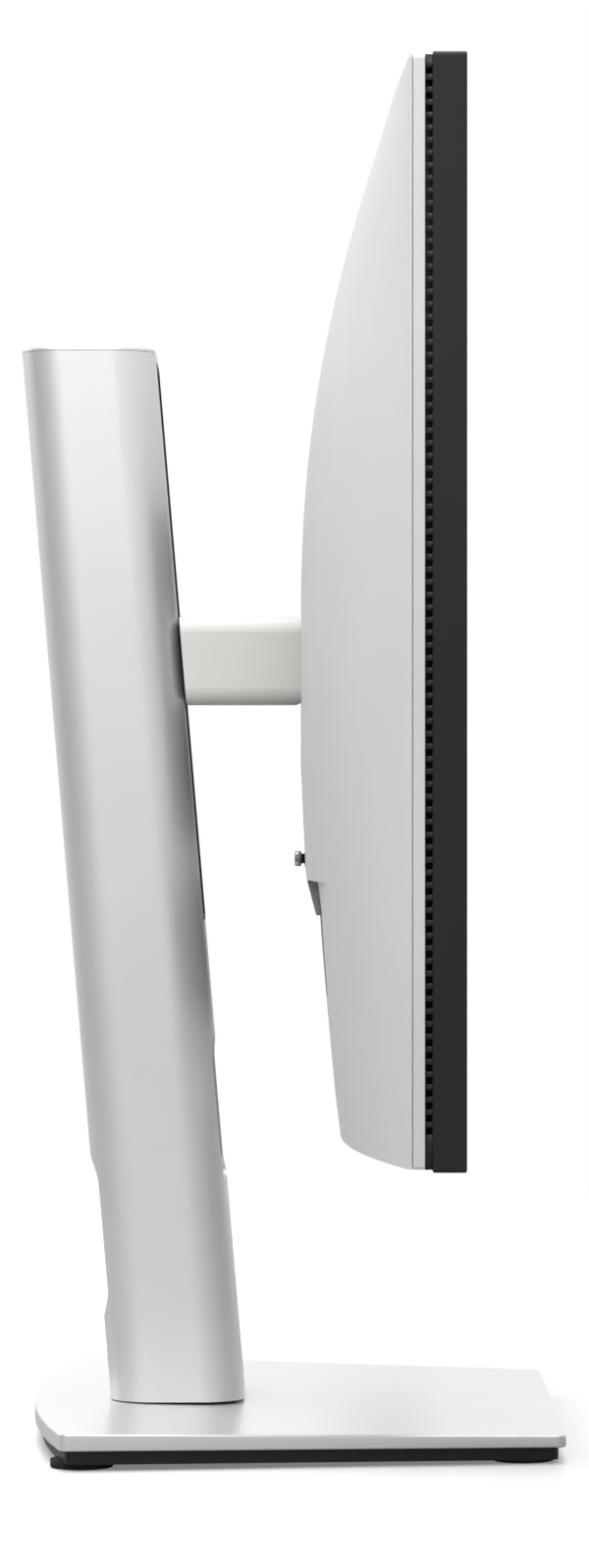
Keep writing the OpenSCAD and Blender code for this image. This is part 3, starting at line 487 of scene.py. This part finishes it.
# %% [markdown]
# The picture area is a dark sheet with an anti-glare skin: nearly black, with a faint sparkle and a soft
# reflection. The coat gives the reflection and the rough base under it kills the glare.

# %% Screen finish
finish("screen", (0.006, 0.0065, 0.008), (0.008, 0.008, 0.0095), 0.38, grain=9000.0, change=0.2, depth=0.25,
       wear=0.0, coat=0.25)
for node_name, cad_object in frame["nodes"].items():
    coat_of_node = finishes[slots_of_nodes[node_name]]
    if not cad_object.material_slots:
        cad_object.data.materials.append(coat_of_node)
    for place in cad_object.material_slots:
        place.material = coat_of_node
print("finish on", len(frame["nodes"]), "CAD parts")

# %% [markdown]
# Every new mesh goes through one function. It scales the millimetres to metres, rounds the edges with a
# bevel that leaves shallow bends alone, ties the mesh to the body of the CAD part it stands for, and
# gives it the finish of that part's slot.


def to_mesh(name, shape):
    """A mesh in metres from a bmesh in millimetres."""
    bmesh.ops.remove_doubles(shape, verts=shape.verts, dist=0.0005)
    bmesh.ops.recalc_face_normals(shape, faces=shape.faces)
    mesh = bpy.data.meshes.new(name)
    shape.to_mesh(mesh)
    shape.free()
    mesh.transform(Matrix.Scale(MM, 4))
    return mesh


def cut_away(piece, cutters):
    """Cuts the cutter meshes out of the piece for good."""
    for number, cutter_mesh in enumerate(cutters):
        cutter = bpy.data.objects.new("cutter", cutter_mesh)
        bpy.context.scene.collection.objects.link(cutter)
        cut = piece.modifiers.new(f"cut_{number}", "BOOLEAN")
        cut.operation = "DIFFERENCE"
        cut.solver = "EXACT"
        cut.object = cutter
    bpy.context.view_layer.update()
    cut_mesh = bpy.data.meshes.new_from_object(piece.evaluated_get(bpy.context.evaluated_depsgraph_get()))
    piece.modifiers.clear()
    piece.data = cut_mesh
    for cutter in [o for o in bpy.data.objects if o.name.startswith("cutter")]:
        bpy.data.objects.remove(cutter)


def round_edges(piece, width, segments=2, angle=32.0):
    """Rounds the sharp edges by width millimetres and keeps the faces between them flat to the light."""
    piece.data.shade_smooth()
    if width > 0:
        bevel = piece.modifiers.new("round_edges", "BEVEL")
        bevel.width = width * MM
        bevel.segments = segments
        bevel.limit_method = "ANGLE"
        bevel.angle_limit = math.radians(angle)
        bevel.harden_normals = True
        bevel.use_clamp_overlap = True
        bevel.miter_outer = "MITER_ARC"
        even = piece.modifiers.new("even_shading", "WEIGHTED_NORMAL")
        even.weight = 100
        even.keep_sharp = True


def piece(name, shape, node, also=(), width=0.3, segments=2, cutters=(), angle=32.0, slot=None, extra=False):
    """A finished piece that stands for a CAD node, or rides beside it if it is extra."""
    made = bpy.data.objects.new(name, to_mesh(name, shape))
    bpy.context.scene.collection.objects.link(made)
    if cutters:
        cut_away(made, cutters)
    made.data.materials.clear()
    slot = slot or slots_of_nodes[node]
    made.data.materials.append(finishes[slot])
    round_edges(made, width, segments, angle)
    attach(made, bodies_of_nodes[node])
    if not extra:
        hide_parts(node, *also)
    print("piece", name, len(made.data.polygons), "faces")
    return made


# %% [markdown]
# Most shapes are lofts: a list of rings with the same number of points, joined by bands of faces. A ring
# can be a rounded rectangle, a circle or the outline of the base. Modelling each shape by hand with the
# mouse would work, but a ring given by sizes can be corrected to a tenth of a millimetre.

# %% Rings and lofts


def rounded_ring(half_a, half_b, radius, per_corner=6):
    """Points of a rounded rectangle about the middle, as pairs (a, b)."""
    radius = max(0.02, min(radius, half_a - 0.01, half_b - 0.01))
    points = []
    for corner, (sign_a, sign_b) in enumerate([(1, 1), (-1, 1), (-1, -1), (1, -1)]):
        for step in range(per_corner + 1):
            turn = math.radians(90 * corner + 90 * step / per_corner)
            points.append((sign_a * (half_a - radius) + radius * math.cos(turn),
                           sign_b * (half_b - radius) + radius * math.sin(turn)))
    return points


def loft(rings, closed=False, shape=None):
    """Joins rings of points by bands of faces, with caps or closed on itself."""
    shape = shape or bmesh.new()
    rows = [[shape.verts.new(p) for p in ring] for ring in rings]
    pairs = list(zip(rows, rows[1:]))
    if closed:
        pairs.append((rows[-1], rows[0]))
    for lower, upper in pairs:
        count = len(lower)
        for k in range(count):
            n = (k + 1) % count
            shape.faces.new((lower[k], lower[n], upper[n], upper[k]))
    if not closed:
        shape.faces.new(rows[0])
        shape.faces.new(rows[-1])
    return shape


def block(low, high, shape=None):
    """A plain box between two corners."""
    shape = shape or bmesh.new()
    ring = [(low[0], low[1]), (high[0], low[1]), (high[0], high[1]), (low[0], high[1])]
    return loft([[(x, y, z) for x, y in ring] for z in (low[2], high[2])], shape=shape)


def turned(profile, centre, axis="Y", sides=48, shape=None):
    """A turned shape: profile is pairs (radius, distance along the axis) from one end to the other."""
    rings = []
    for radius, along in profile:
        ring = []
        for k in range(sides):
            turn = 2 * math.pi * k / sides
            a, b = max(radius, 0.01) * math.cos(turn), max(radius, 0.01) * math.sin(turn)
            if axis == "Y":
                ring.append((centre[0] + a, centre[1] + along, centre[2] + b))
            else:
                ring.append((centre[0] + a, centre[1] + b, centre[2] + along))
        rings.append(ring)
    return loft(rings, shape=shape)


print("ring of", len(rounded_ring(10, 5, 2)), "points")

# %% [markdown]
# ## The rear cover
#
# The back of the head is one thin shell: nearly flat in the middle, falling away to the sides and towards
# the top, with a ledge across it above the sockets. It is a grid whose depth comes from a formula. The
# grid lines run through every opening, so the openings are made by leaving cells out, and a solidify
# modifier gives the wall. Cutting the openings with booleans would leave slivers in the smooth surface.

# %% Depth of the cover
band_back = band_high.y
bulge = cover_high.y - band_back
LIP = 0.8
bay_box_low, bay_box_high = box_mm("port_bay")
BAY_MARGIN = 0.2
LEDGE_Z = bay_box_high.z + BAY_MARGIN + 3.0
LEDGE_LOW = LEDGE_Z - 0.8
LEDGE_HEIGHT = 13.2
LEDGE_FOOT = LEDGE_Z - LEDGE_HEIGHT
FLAT_LOW = arm_z - 37.0
FLAT_HIGH = arm_z + 23.0
LEDGE_DROP = 1.8
UNDER_DROP = 5.8
FOOT_DROP = 7.3
LOW_DROP = 6.6
TOP_DROP = 30.4
BLEND_START = 116.0
BLEND_END = 175.0
BLEND_LOW = bay_box_low.z - BAY_MARGIN


def low_law(z):
    return FOOT_DROP + LOW_DROP * ((LEDGE_FOOT - z) / (LEDGE_FOOT - head_bottom)) ** 1.15


def ledge_law(z):
    """Drop of the middle of the cover below its crown, with the ledge."""
    if z > FLAT_HIGH:
        return TOP_DROP * ((z - FLAT_HIGH) / (head_top - FLAT_HIGH)) ** 2
    if z > FLAT_LOW:
        return 0.0
    if z >= LEDGE_Z:
        return LEDGE_DROP * (FLAT_LOW - z) / (FLAT_LOW - LEDGE_Z)
    if z > LEDGE_FOOT:
        below = (LEDGE_LOW - min(z, LEDGE_LOW)) / (LEDGE_LOW - LEDGE_FOOT)
        return UNDER_DROP + (FOOT_DROP - UNDER_DROP) * below
    return low_law(z)


def smooth_law(z):
    """The same drop out at the sides, where the ledge has run out into one smooth bend."""
    if z > FLAT_HIGH or z < BLEND_LOW:
        return ledge_law(z)
    t = (FLAT_HIGH - z) / (FLAT_HIGH - BLEND_LOW)
    end = low_law(BLEND_LOW)
    end_slope = (low_law(BLEND_LOW - 1.0) - end) * (FLAT_HIGH - BLEND_LOW)
    return end * (3 * t * t - 2 * t ** 3) + end_slope * (t ** 3 - t * t)


def cover_depth(x, z):
    plateau = 130.0 - 90.0 * (z - head_bottom) / head_h
    side = (max(0.0, abs(x) - plateau) / (half_w - plateau)) ** 2
    t = min(1.0, max(0.0, (abs(x) - BLEND_START) / (BLEND_END - BLEND_START)))
    t = t * t * (3 - 2 * t)
    drop = (1 - t) * ledge_law(z) + t * smooth_law(z)
    return band_back + LIP + (bulge - LIP) * (1 - side) * (1 - drop / bulge)


print("cover depth at the crown", round(cover_depth(0, arm_z), 2), "and at the corner",
      round(cover_depth(half_w - 1, head_top - 1), 2))

# %% [markdown]
# The two controls stick out through round holes. Around each hole the square grid is pulled into circles: a
# ring of cells keeps its count of points while its shape goes from square to round. This keeps the cover's
# surface smooth right up to the hole.

# %% Grid of the cover
WELL = 62.0
BAY_HALF = bay_box_high.x + BAY_MARGIN
BAY_LOW = bay_box_low.z - BAY_MARGIN
BAY_HIGH = bay_box_high.z + BAY_MARGIN
cap_low, cap_high = box_mm("joystick_cap")
button_low, button_high = box_mm("power_button")
CONTROL_Z = (cap_low.z + cap_high.z) / 2
STICK_X = (cap_low.x + cap_high.x) / 2
POWER_X = (button_low.x + button_high.x) / 2
stick_r = (cap_high.x - cap_low.x) / 2
button_r = (button_high.x - button_low.x) / 2
HOLE_BLOCK = CONTROL_Z - LEDGE_Z
HOLE_CELLS = 8
HOLE_RING = 7
holes = [(STICK_X, stick_r + 0.7), (POWER_X, button_r + 0.3)]


def grid_lines(keys, step):
    """Places from the first key to the last, about a step apart, passing through every key."""
    lines = []
    for a, b in zip(keys, keys[1:]):
        count = max(1, round((b - a) / step))
        lines += [a + (b - a) * k / count for k in range(count)]
    return lines + [keys[-1]]


def around(middle):
    return [middle + HOLE_BLOCK * k / HOLE_CELLS for k in range(-HOLE_CELLS, HOLE_CELLS + 1)]


def pulled_round(x, z):
    """Moves a grid point near a control's hole from its square ring to a round one."""
    for hole_x, radius in holes:
        dx, dz = x - hole_x, z - CONTROL_Z
        ring = max(abs(dx), abs(dz))
        first = HOLE_BLOCK * HOLE_RING / HOLE_CELLS
        if 0.01 < ring < HOLE_BLOCK - 0.01:
            far = math.hypot(dx, dz)
            t = max(0.0, (ring - first) / (HOLE_BLOCK - first))
            circle = ring / first * radius if ring < first else radius + (HOLE_BLOCK - radius) * t
            return (hole_x + dx + (1 - t) * (dx / far * circle - dx),
                    CONTROL_Z + dz + (1 - t) * (dz / far * circle - dz))
    return x, z


def in_opening(x, z):
    in_well = abs(x) < WELL and abs(z - arm_z) < WELL
    in_bay = abs(x) < BAY_HALF and BAY_LOW < z < BAY_HIGH
    reach = HOLE_BLOCK * HOLE_RING / HOLE_CELLS
    in_hole = any(max(abs(x - hx), abs(z - CONTROL_Z)) < reach for hx, radius in holes)
    return in_well or in_bay or in_hole


columns = grid_lines([cover_low.x, -BAY_HALF, -WELL, WELL, around(STICK_X)[0]], 5.0)[:-1] \
    + around(STICK_X) + grid_lines([around(STICK_X)[-1], around(POWER_X)[0]], 4.0)[1:-1] + around(POWER_X) \
    + grid_lines([around(POWER_X)[-1], cover_high.x], 5.0)[1:]
upper_levels = [around(CONTROL_Z)[-1], arm_z - WELL, FLAT_LOW, FLAT_HIGH, arm_z + WELL, cover_high.z]
rows = grid_lines([cover_low.z, BAY_LOW, LEDGE_FOOT, BAY_HIGH, LEDGE_LOW, LEDGE_Z], 4.0)[:-1] \
    + around(CONTROL_Z) + grid_lines(upper_levels, 4.0)[1:]
print("grid", len(columns), "by", len(rows))

# %% Rear cover
SEAM = 0.22
COVER_WALL = 1.2
cover = bmesh.new()
points = []
for z in rows:
    row = []
    for x in columns:
        px, pz = pulled_round(x, z)
        row.append(cover.verts.new((px, cover_depth(px, pz), pz)))
    points.append(row)
for i in range(len(rows) - 1):
    for j in range(len(columns) - 1):
        if not in_opening((columns[j] + columns[j + 1]) / 2, (rows[i] + rows[i + 1]) / 2):
            cover.faces.new((points[i][j], points[i][j + 1], points[i + 1][j + 1], points[i + 1][j]))
rim = points[0] + [r[-1] for r in points[1:]] + points[-1][-2::-1] + [r[0] for r in points[-2:0:-1]]
foot = [cover.verts.new((v.co.x, band_back + SEAM, v.co.z)) for v in rim]
for k in range(len(rim)):
    n = (k + 1) % len(rim)
    cover.faces.new((rim[k], rim[n], foot[n], foot[k]))
bmesh.ops.delete(cover, geom=[v for v in cover.verts if not v.link_faces], context="VERTS")
bmesh.ops.recalc_face_normals(cover, faces=cover.faces)
if max(cover.faces, key=lambda f: f.calc_center_median().y).normal.y < 0:
    bmesh.ops.reverse_faces(cover, faces=cover.faces)
cover_mesh = bpy.data.meshes.new("rear_cover_skin")
cover.to_mesh(cover_mesh)
cover.free()
cover_mesh.transform(Matrix.Scale(MM, 4))
cover_skin = bpy.data.objects.new("rear_cover_skin", cover_mesh)
bpy.context.scene.collection.objects.link(cover_skin)
wall = cover_skin.modifiers.new("wall", "SOLIDIFY")
wall.thickness = COVER_WALL * MM
wall.offset = -1.0
cover_mesh.materials.append(finishes["silver_plastic"])
round_edges(cover_skin, 0.35, 2, 38.0)
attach(cover_skin, "head")
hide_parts("rear_cover")
print("rear cover", len(cover_mesh.polygons), "faces")

# %% [markdown]
# Under the ledge a slanted hood covers the top of the bay where the cables go in. Its dark grey finish is
# painted shade: it stands in for the shade on the down-facing underside of the ledge. It is a long thin
# bar with a leaning back, closed at both ends.

# %% Socket hood, dark grey as painted shade
hood_half = BAY_HALF - 1.0
hood_top = LEDGE_LOW - 0.1
hood_foot = LEDGE_FOOT + 0.6
crown = cover_high.y
hood_profile = [(crown - 2.0, hood_top), (crown - 5.1, hood_foot), (crown - 7.0, hood_foot),
                (crown - 5.85, hood_top)]
hood = loft([[(x, y, z) for y, z in hood_profile] for x in (-hood_half, hood_half)])
piece("socket_hood", hood, "port_bay", width=0.25, extra=True)

# %% [markdown]
# ## Band, vents and front frame
#
# Between the cover and the black front runs a light band, then a narrow black strip with hundreds of
# small slots that let the warm air out. The strip is drawn as a plate with cells left out, and one loop
# serves its four sides.

# %% Mid band
TRIM = 1.0
TRIM_WALL = 1.8


def head_ring(inset, y, radius):
    """Ring around the head, drawn in from its outline by inset."""
    middle = (head_bottom + head_top) / 2
    return [(a, y, middle + b) for a, b in rounded_ring(half_w - inset, head_h / 2 - inset, radius, 5)]


band_front = band_low.y
band = loft([head_ring(TRIM, band_front, 1.2), head_ring(TRIM, band_back, 1.2),
             head_ring(TRIM + TRIM_WALL, band_back, 0.4), head_ring(TRIM + TRIM_WALL, band_front + 1.2, 0.4),
             head_ring(TRIM + TRIM_WALL + 4, band_front + 1.2, 0.4),
             head_ring(TRIM + TRIM_WALL + 4, band_front, 0.4)], closed=True)
piece("mid_band_ring", band, "mid_band", width=0.25)

# %% Vent strip
VENT_PITCH = 4.0
VENT_SLOT = 2.3
VENT_MARGIN = 5.0
RAIL = 0.1
vent_front = vent_low.y
vent_back = vent_high.y
side_count = int((head_h - 2 * VENT_MARGIN - 9) / VENT_PITCH) + 1
top_count = int((head_w - 2 * VENT_MARGIN - 9) / VENT_PITCH) + 1
inner = half_w - TRIM - TRIM_WALL
RIB_INSET = 0.15


def slotted_plate(shape, starts, low, high, place):
    """A thin plate across the strip with a slot at each start.

    Place turns (along, across, depth) to a point.
    """
    along = [low]
    for start in starts:
        along += [start, start + VENT_SLOT]
    along.append(high)
    across = [vent_front, vent_front + RAIL, vent_back - RAIL, vent_back]
    faces = [[[shape.verts.new(place(a, c, d)) for c in across] for a in along] for d in (0, 1)]

    def solid(i, j):
        return 0 <= i < len(along) - 1 and 0 <= j < 3 and not (j == 1 and i % 2 == 1)

    for i in range(len(along) - 1):
        for j in range(3):
            if not solid(i, j):
                continue
            for d in (0, 1):
                grid = faces[d]
                shape.faces.new((grid[i][j], grid[i + 1][j], grid[i + 1][j + 1], grid[i][j + 1]))
            for (p, q), near in (((0, 0), (0, -1)), ((1, 0), (1, 0)), ((0, 1), (0, 1)), ((0, 0), (-1, 0))):
                if not solid(i + near[0], j + near[1]):
                    a = (i + p, j + q)
                    b = (i + 1, j + q) if near[0] == 0 else (i + p, j + 1)
                    shape.faces.new((faces[0][a[0]][a[1]], faces[0][b[0]][b[1]],
                                     faces[1][b[0]][b[1]], faces[1][a[0]][a[1]]))


vents = bmesh.new()
side_starts = [head_top - VENT_MARGIN - i * VENT_PITCH - VENT_SLOT for i in range(side_count)][::-1]
for sign in (-1, 1):
    slotted_plate(vents, side_starts, head_bottom + TRIM, head_top - TRIM,
                  lambda a, c, d: (sign * (inner + d * (TRIM_WALL - RIB_INSET)), c, a))
top_starts = [VENT_MARGIN + 2 - half_w + i * VENT_PITCH for i in range(top_count)]
slotted_plate(vents, top_starts, -inner, inner,
              lambda a, c, d: (a, c, head_top - TRIM - TRIM_WALL + d * (TRIM_WALL - RIB_INSET)))
block((-inner, vent_front, head_bottom + TRIM + RIB_INSET),
      (inner, vent_back, head_bottom + TRIM + TRIM_WALL), vents)
piece("vent_ladder", vents, "vent_strip", width=0.0)

# %% Painted shade: dark sheets behind the slots
# These black sheets are painted shade: they stand in for the shade deep inside the vent slots.
shade_liner = bmesh.new()
shade_liner_in = inner - 2.2
for sign in (-1, 1):
    low_x, high_x = sorted((sign * shade_liner_in, sign * (shade_liner_in + 0.6)))
    block((low_x, vent_front + 0.05, head_bottom + 6), (high_x, vent_back - 0.05, head_top - 6), shade_liner)
block((-shade_liner_in, vent_front + 0.05, head_top - 5.4), (shade_liner_in, vent_back - 0.05, head_top - 4.8), shade_liner)
piece("vent_felt", shade_liner, "vent_strip", width=0.0, slot="rubber", extra=True)

# %% [markdown]
# The front frame is the black picture frame seen from the front: a thin lip around the glass and a wall
# that runs back to the vents. A small window at the bottom right lets the power lamp shine through.

# %% Front frame
front = frame_low.y
frame_back = frame_high.y
LIP_DEPTH = 1.6
SIDE_LIP = 6.8
TOP_LIP = 7.3
LOW_LIP = 11.9
picture_half = half_w - SIDE_LIP
picture_low = head_bottom + LOW_LIP
picture_high = head_top - TOP_LIP


def picture_ring(grow, y, radius=0.3):
    middle = (picture_low + picture_high) / 2
    half = (picture_high - picture_low) / 2
    return [(a, y, middle + b) for a, b in rounded_ring(picture_half + grow, half + grow, radius, 5)]


frame_shape = loft([head_ring(0, front, 1.5), head_ring(0, frame_back, 1.5),
                    head_ring(TRIM_WALL, frame_back, 0.4), head_ring(TRIM_WALL, front + LIP_DEPTH, 0.4),
                    picture_ring(0, front + LIP_DEPTH), picture_ring(0, front)], closed=True)
lamp_low, lamp_high = box_mm("power_lamp")
lamp_window = block((lamp_low.x - 0.1, front - 1, lamp_low.z - 0.1),
                    (lamp_high.x + 0.1, front + 3, lamp_high.z + 0.1))
piece("front_frame_moulding", frame_shape, "front_frame", width=0.6, segments=3,
      cutters=[to_mesh("lamp_window", lamp_window)])

# %% Screen glass
glass = loft([picture_ring(3, y) for y in (glass_low.y, glass_high.y)])
piece("screen_sheet", glass, "screen_glass", width=0.12)

# %% Power lamp
lens = block(lamp_low, lamp_high)
piece("power_lens", lens, "power_lamp", width=0.2, segments=3)

# %% [markdown]
# ## The column
#
# The column is one length of aluminium tube with round corners. It leans back a few degrees and its ends
# are cut level. Rings of its cross-section, each laid level, make the tube; then the track for the arm
# and the two mouths for the cables are cut out of it.

# %% Column frame
LEAN = math.radians(4.85)
FOOT_Y = 42.65
FOOT_Z = 12.5
COLUMN_R = 16.0
COLUMN_WALL = 2.2
half_cw = (shell_high.x - shell_low.x) / 2
half_cd = 24.2
S_ARM = (arm_z - FOOT_Z) / math.cos(LEAN)


def leaned(x, across, along):
    """A point of the column's own frame in the frame of the whole monitor."""
    return (x, FOOT_Y + across * math.cos(LEAN) + along * math.sin(LEAN),
            FOOT_Z - across * math.sin(LEAN) + along * math.cos(LEAN))


def level_ring(inset, z, per_corner=14):
    """Ring of the column's section, drawn in by inset and cut level at height z."""
    ring = []
    for a, b in rounded_ring(half_cw - inset, half_cd - inset, COLUMN_R - inset, per_corner):
        ring.append(leaned(a, b, (z - FOOT_Z + b * math.sin(LEAN)) / math.cos(LEAN)))
    return ring


def prism_y(outline, y0, y1):
    """A cutter along Y from an outline of (x, z)."""
    return loft([[(x, y, z) for x, z in outline] for y in (y0, y1)])


def mouth_cutter(name, low, high, half, radius, y0, y1):
    middle = (low + high) / 2
    outline = [(a, middle + b) for a, b in rounded_ring(half, (high - low) / 2, radius, 8)]
    return to_mesh(name, prism_y(outline, y0, y1))


def column_face(z, back):
    """Where the front or back of the column is at height z."""
    return FOOT_Y + (half_cd if back else -half_cd) / math.cos(LEAN) + (z - FOOT_Z) * math.tan(LEAN)


print("column leans", round(math.degrees(LEAN), 2), "degrees, arm", round(S_ARM, 1), "mm along it")

# %% Column tube
TRACK_HALF = 15.0
TRACK_LOW = S_ARM - 96.0
TRACK_HIGH = S_ARM + 106.0
tube_levels = grid_lines([shell_low.z, shell_high.z], 3.0)
tube = loft([level_ring(0, z) for z in tube_levels] + [level_ring(COLUMN_WALL, z) for z in tube_levels[::-1]],
            closed=True)
track_ring = [leaned(x, across, along) for across in (-half_cd - 5, -half_cd + 5)
              for x, along in ((-TRACK_HALF, TRACK_LOW), (TRACK_HALF, TRACK_LOW),
                               (TRACK_HALF, TRACK_HIGH), (-TRACK_HALF, TRACK_HIGH))]
track = to_mesh("track", loft([track_ring[:4], track_ring[4:]]))
front_mouth = mouth_cutter("front_mouth", 91, 145, 25.5, 10, column_face(91, False) - 9, FOOT_Y)
rear_mouth = mouth_cutter("rear_mouth", 42, 103, 28.5, 12, FOOT_Y + 12, column_face(103, True) + 9)
piece("column_tube", tube, "column_shell", width=0.3, segments=2, angle=50.0,
      cutters=[track, front_mouth, rear_mouth])

# %% Column cap
CAP_ROUND = 1.5
CAP_SEAM = 0.15
cap_top = box_mm("column_cap")[1].z
cap_rings = [level_ring(0, shell_high.z + CAP_SEAM)]
for step in range(7):
    turn = math.radians(90 * step / 6)
    cap_rings.append(level_ring(CAP_ROUND * (1 - math.cos(turn)), cap_top - CAP_ROUND * (1 - math.sin(turn))))
cap_rings.insert(0, level_ring(COLUMN_WALL + 0.2, shell_high.z + CAP_SEAM))
cap_rings.insert(0, level_ring(COLUMN_WALL + 0.2, shell_high.z - 2))
piece("column_lid", loft(cap_rings), "column_cap", width=0.1)

# %% Track trim
LIP_OUT = 1.2
LIP_PROUD = 0.25
trim_levels = [(LIP_OUT, -half_cd), (LIP_OUT, -half_cd - LIP_PROUD), (-0.6, -half_cd - LIP_PROUD),
               (-0.6, -half_cd + COLUMN_WALL), (-0.05, -half_cd + COLUMN_WALL), (-0.05, -half_cd)]
track_middle = (TRACK_LOW + TRACK_HIGH) / 2
track_reach = (TRACK_HIGH - TRACK_LOW) / 2
trim = loft([[leaned(a, across, track_middle + b)
              for a, b in rounded_ring(TRACK_HALF + grow, track_reach + grow, 0.6)]
             for grow, across in trim_levels], closed=True)
piece("track_trim", trim, "column_foot", width=0.1, slot="black_plastic", extra=True)

# %% [markdown]
# ## The controls
#
# A little joystick and a power button stick out of the back, to the right of the stand. Both are turned
# shapes: a profile carried around an axis, which is how they would be made on a lathe or in a round
# mould.

# %% Joystick cap and power button
stick_tip = cap_high.y
stick_back = stick_tip - 2.5
NECK_R = 1.9
stick_profile = [(NECK_R, cap_low.y), (NECK_R, stick_back - 0.1), (stick_r - 0.3, stick_back),
                 (stick_r, stick_back + 0.3),
                 (stick_r, stick_tip - 0.45), (stick_r - 0.15, stick_tip - 0.15),
                 (stick_r - 0.5, stick_tip), (stick_r - 1.1, stick_tip - 0.05), (0.6, stick_tip - 0.35),
                 (0.0, stick_tip - 0.4)]
stick = turned(stick_profile, (STICK_X, 0, CONTROL_Z))
piece("joystick_knob", stick, "joystick_cap", width=0.0)
button_top = button_high.y
button_profile = [(2.0, button_low.y), (2.0, -7.5), (button_r - 0.3, -7.5), (button_r, -7.2),
                  (button_r, button_top - 0.5), (button_r - 0.15, button_top - 0.2),
                  (button_r - 0.5, button_top - 0.05), (button_r - 1.2, button_top - 0.02),
                  (button_r - 1.35, button_top - 0.25), (button_r - 1.6, button_top - 0.25),
                  (button_r - 1.75, button_top - 0.02), (1.0, button_top), (0.0, button_top)]
button = turned(button_profile, (POWER_X, 0, CONTROL_Z))
piece("power_key", button, "power_button", width=0.0)

# %% [markdown]
# ## Feet
#
# Four rubber pads lift the base off the desk. Each is a disc with a rounded lower edge and a shallow ring
# moulded into its face, so that it grips.

# %% Rubber feet
FOOT_R = 11.0
FOOT_SPOTS = [(-102, -80, 1.2), (102, -80, 1.2), (-122, 74, 2.2), (122, 74, 2.2)]
feet = bmesh.new()
foot_top = box_mm("base_feet")[1].z
for x, y, underside in FOOT_SPOTS:
    top = min(foot_top, underside + 0.7)
    foot_profile = [(FOOT_R, top), (FOOT_R, 0.5), (FOOT_R - 0.15, 0.15), (FOOT_R - 0.5, 0.0),
                    (FOOT_R - 2.2, 0.0), (FOOT_R - 2.5, 0.25), (FOOT_R - 3.2, 0.25), (FOOT_R - 3.5, 0.0),
                    (0.0, 0.0)]
    turned(foot_profile, (x, y, 0), axis="Z", shape=feet)
piece("rubber_feet", feet, "base_feet", width=0.0)

# %% [markdown]
# ## The rest of the parts
#
# The remaining parts already have their true shape in the CAD model. A copy of each mesh has its flat
# triangles merged and its sharp edges rounded, because no real edge is perfectly sharp and the light has
# to catch it. The CAD objects themselves are never changed; the copy simply stands in for them.

# %% Softened copies


def soften(node, width, segments=2, angle=35.0):
    """A copy of a CAD part with merged faces and rounded edges."""
    source = frame["nodes"][node]
    mesh = source.data.copy()
    shape = bmesh.new()
    shape.from_mesh(mesh)
    bmesh.ops.remove_doubles(shape, verts=shape.verts, dist=0.000002)
    bmesh.ops.dissolve_limit(shape, angle_limit=math.radians(0.4), verts=shape.verts, edges=shape.edges)
    shape.to_mesh(mesh)
    shape.free()
    made = bpy.data.objects.new(f"{node}_soft", mesh)
    bpy.context.scene.collection.objects.link(made)
    mesh.materials.clear()
    mesh.materials.append(finishes[slots_of_nodes[node]])
    round_edges(made, width, segments, angle)
    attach(made, bodies_of_nodes[node])
    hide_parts(node)
    return made


SOFT_WIDTHS = {
    "base_plate": 0.7, "base_skirt": 0.5, "base_screws": 0.1, "column_thumbscrew": 0.3, "column_foot": 0.2,
    "cable_duct": 0.2, "arm_cover": 0.35, "arm_frame": 0.25, "tilt_pin": 0.2, "tilt_washers": 0.1,
    "tilt_bracket": 0.4, "pivot_ring": 0.15, "pivot_nut": 0.2, "stand_plate": 0.5, "release_button": 0.4,
    "release_latch": 0.1, "cover_well": 0.3, "port_bay": 0.3, "power_inlet": 0.25, "video_sockets": 0.1,
    "usb_sockets": 0.1, "slide_block": 0.3, "glide_pads": 0.2, "guide_rails": 0.15, "rail_back": 0.15,
    "spring_drum": 0.2, "arm_screws": 0.2, "rear_chassis": 0.2, "swivel_race": 0.2,
}
for soft_node, soft_width in SOFT_WIDTHS.items():
    soft_piece = soften(soft_node, soft_width)
    print("softened", soft_piece.name, len(soft_piece.data.polygons), "faces")
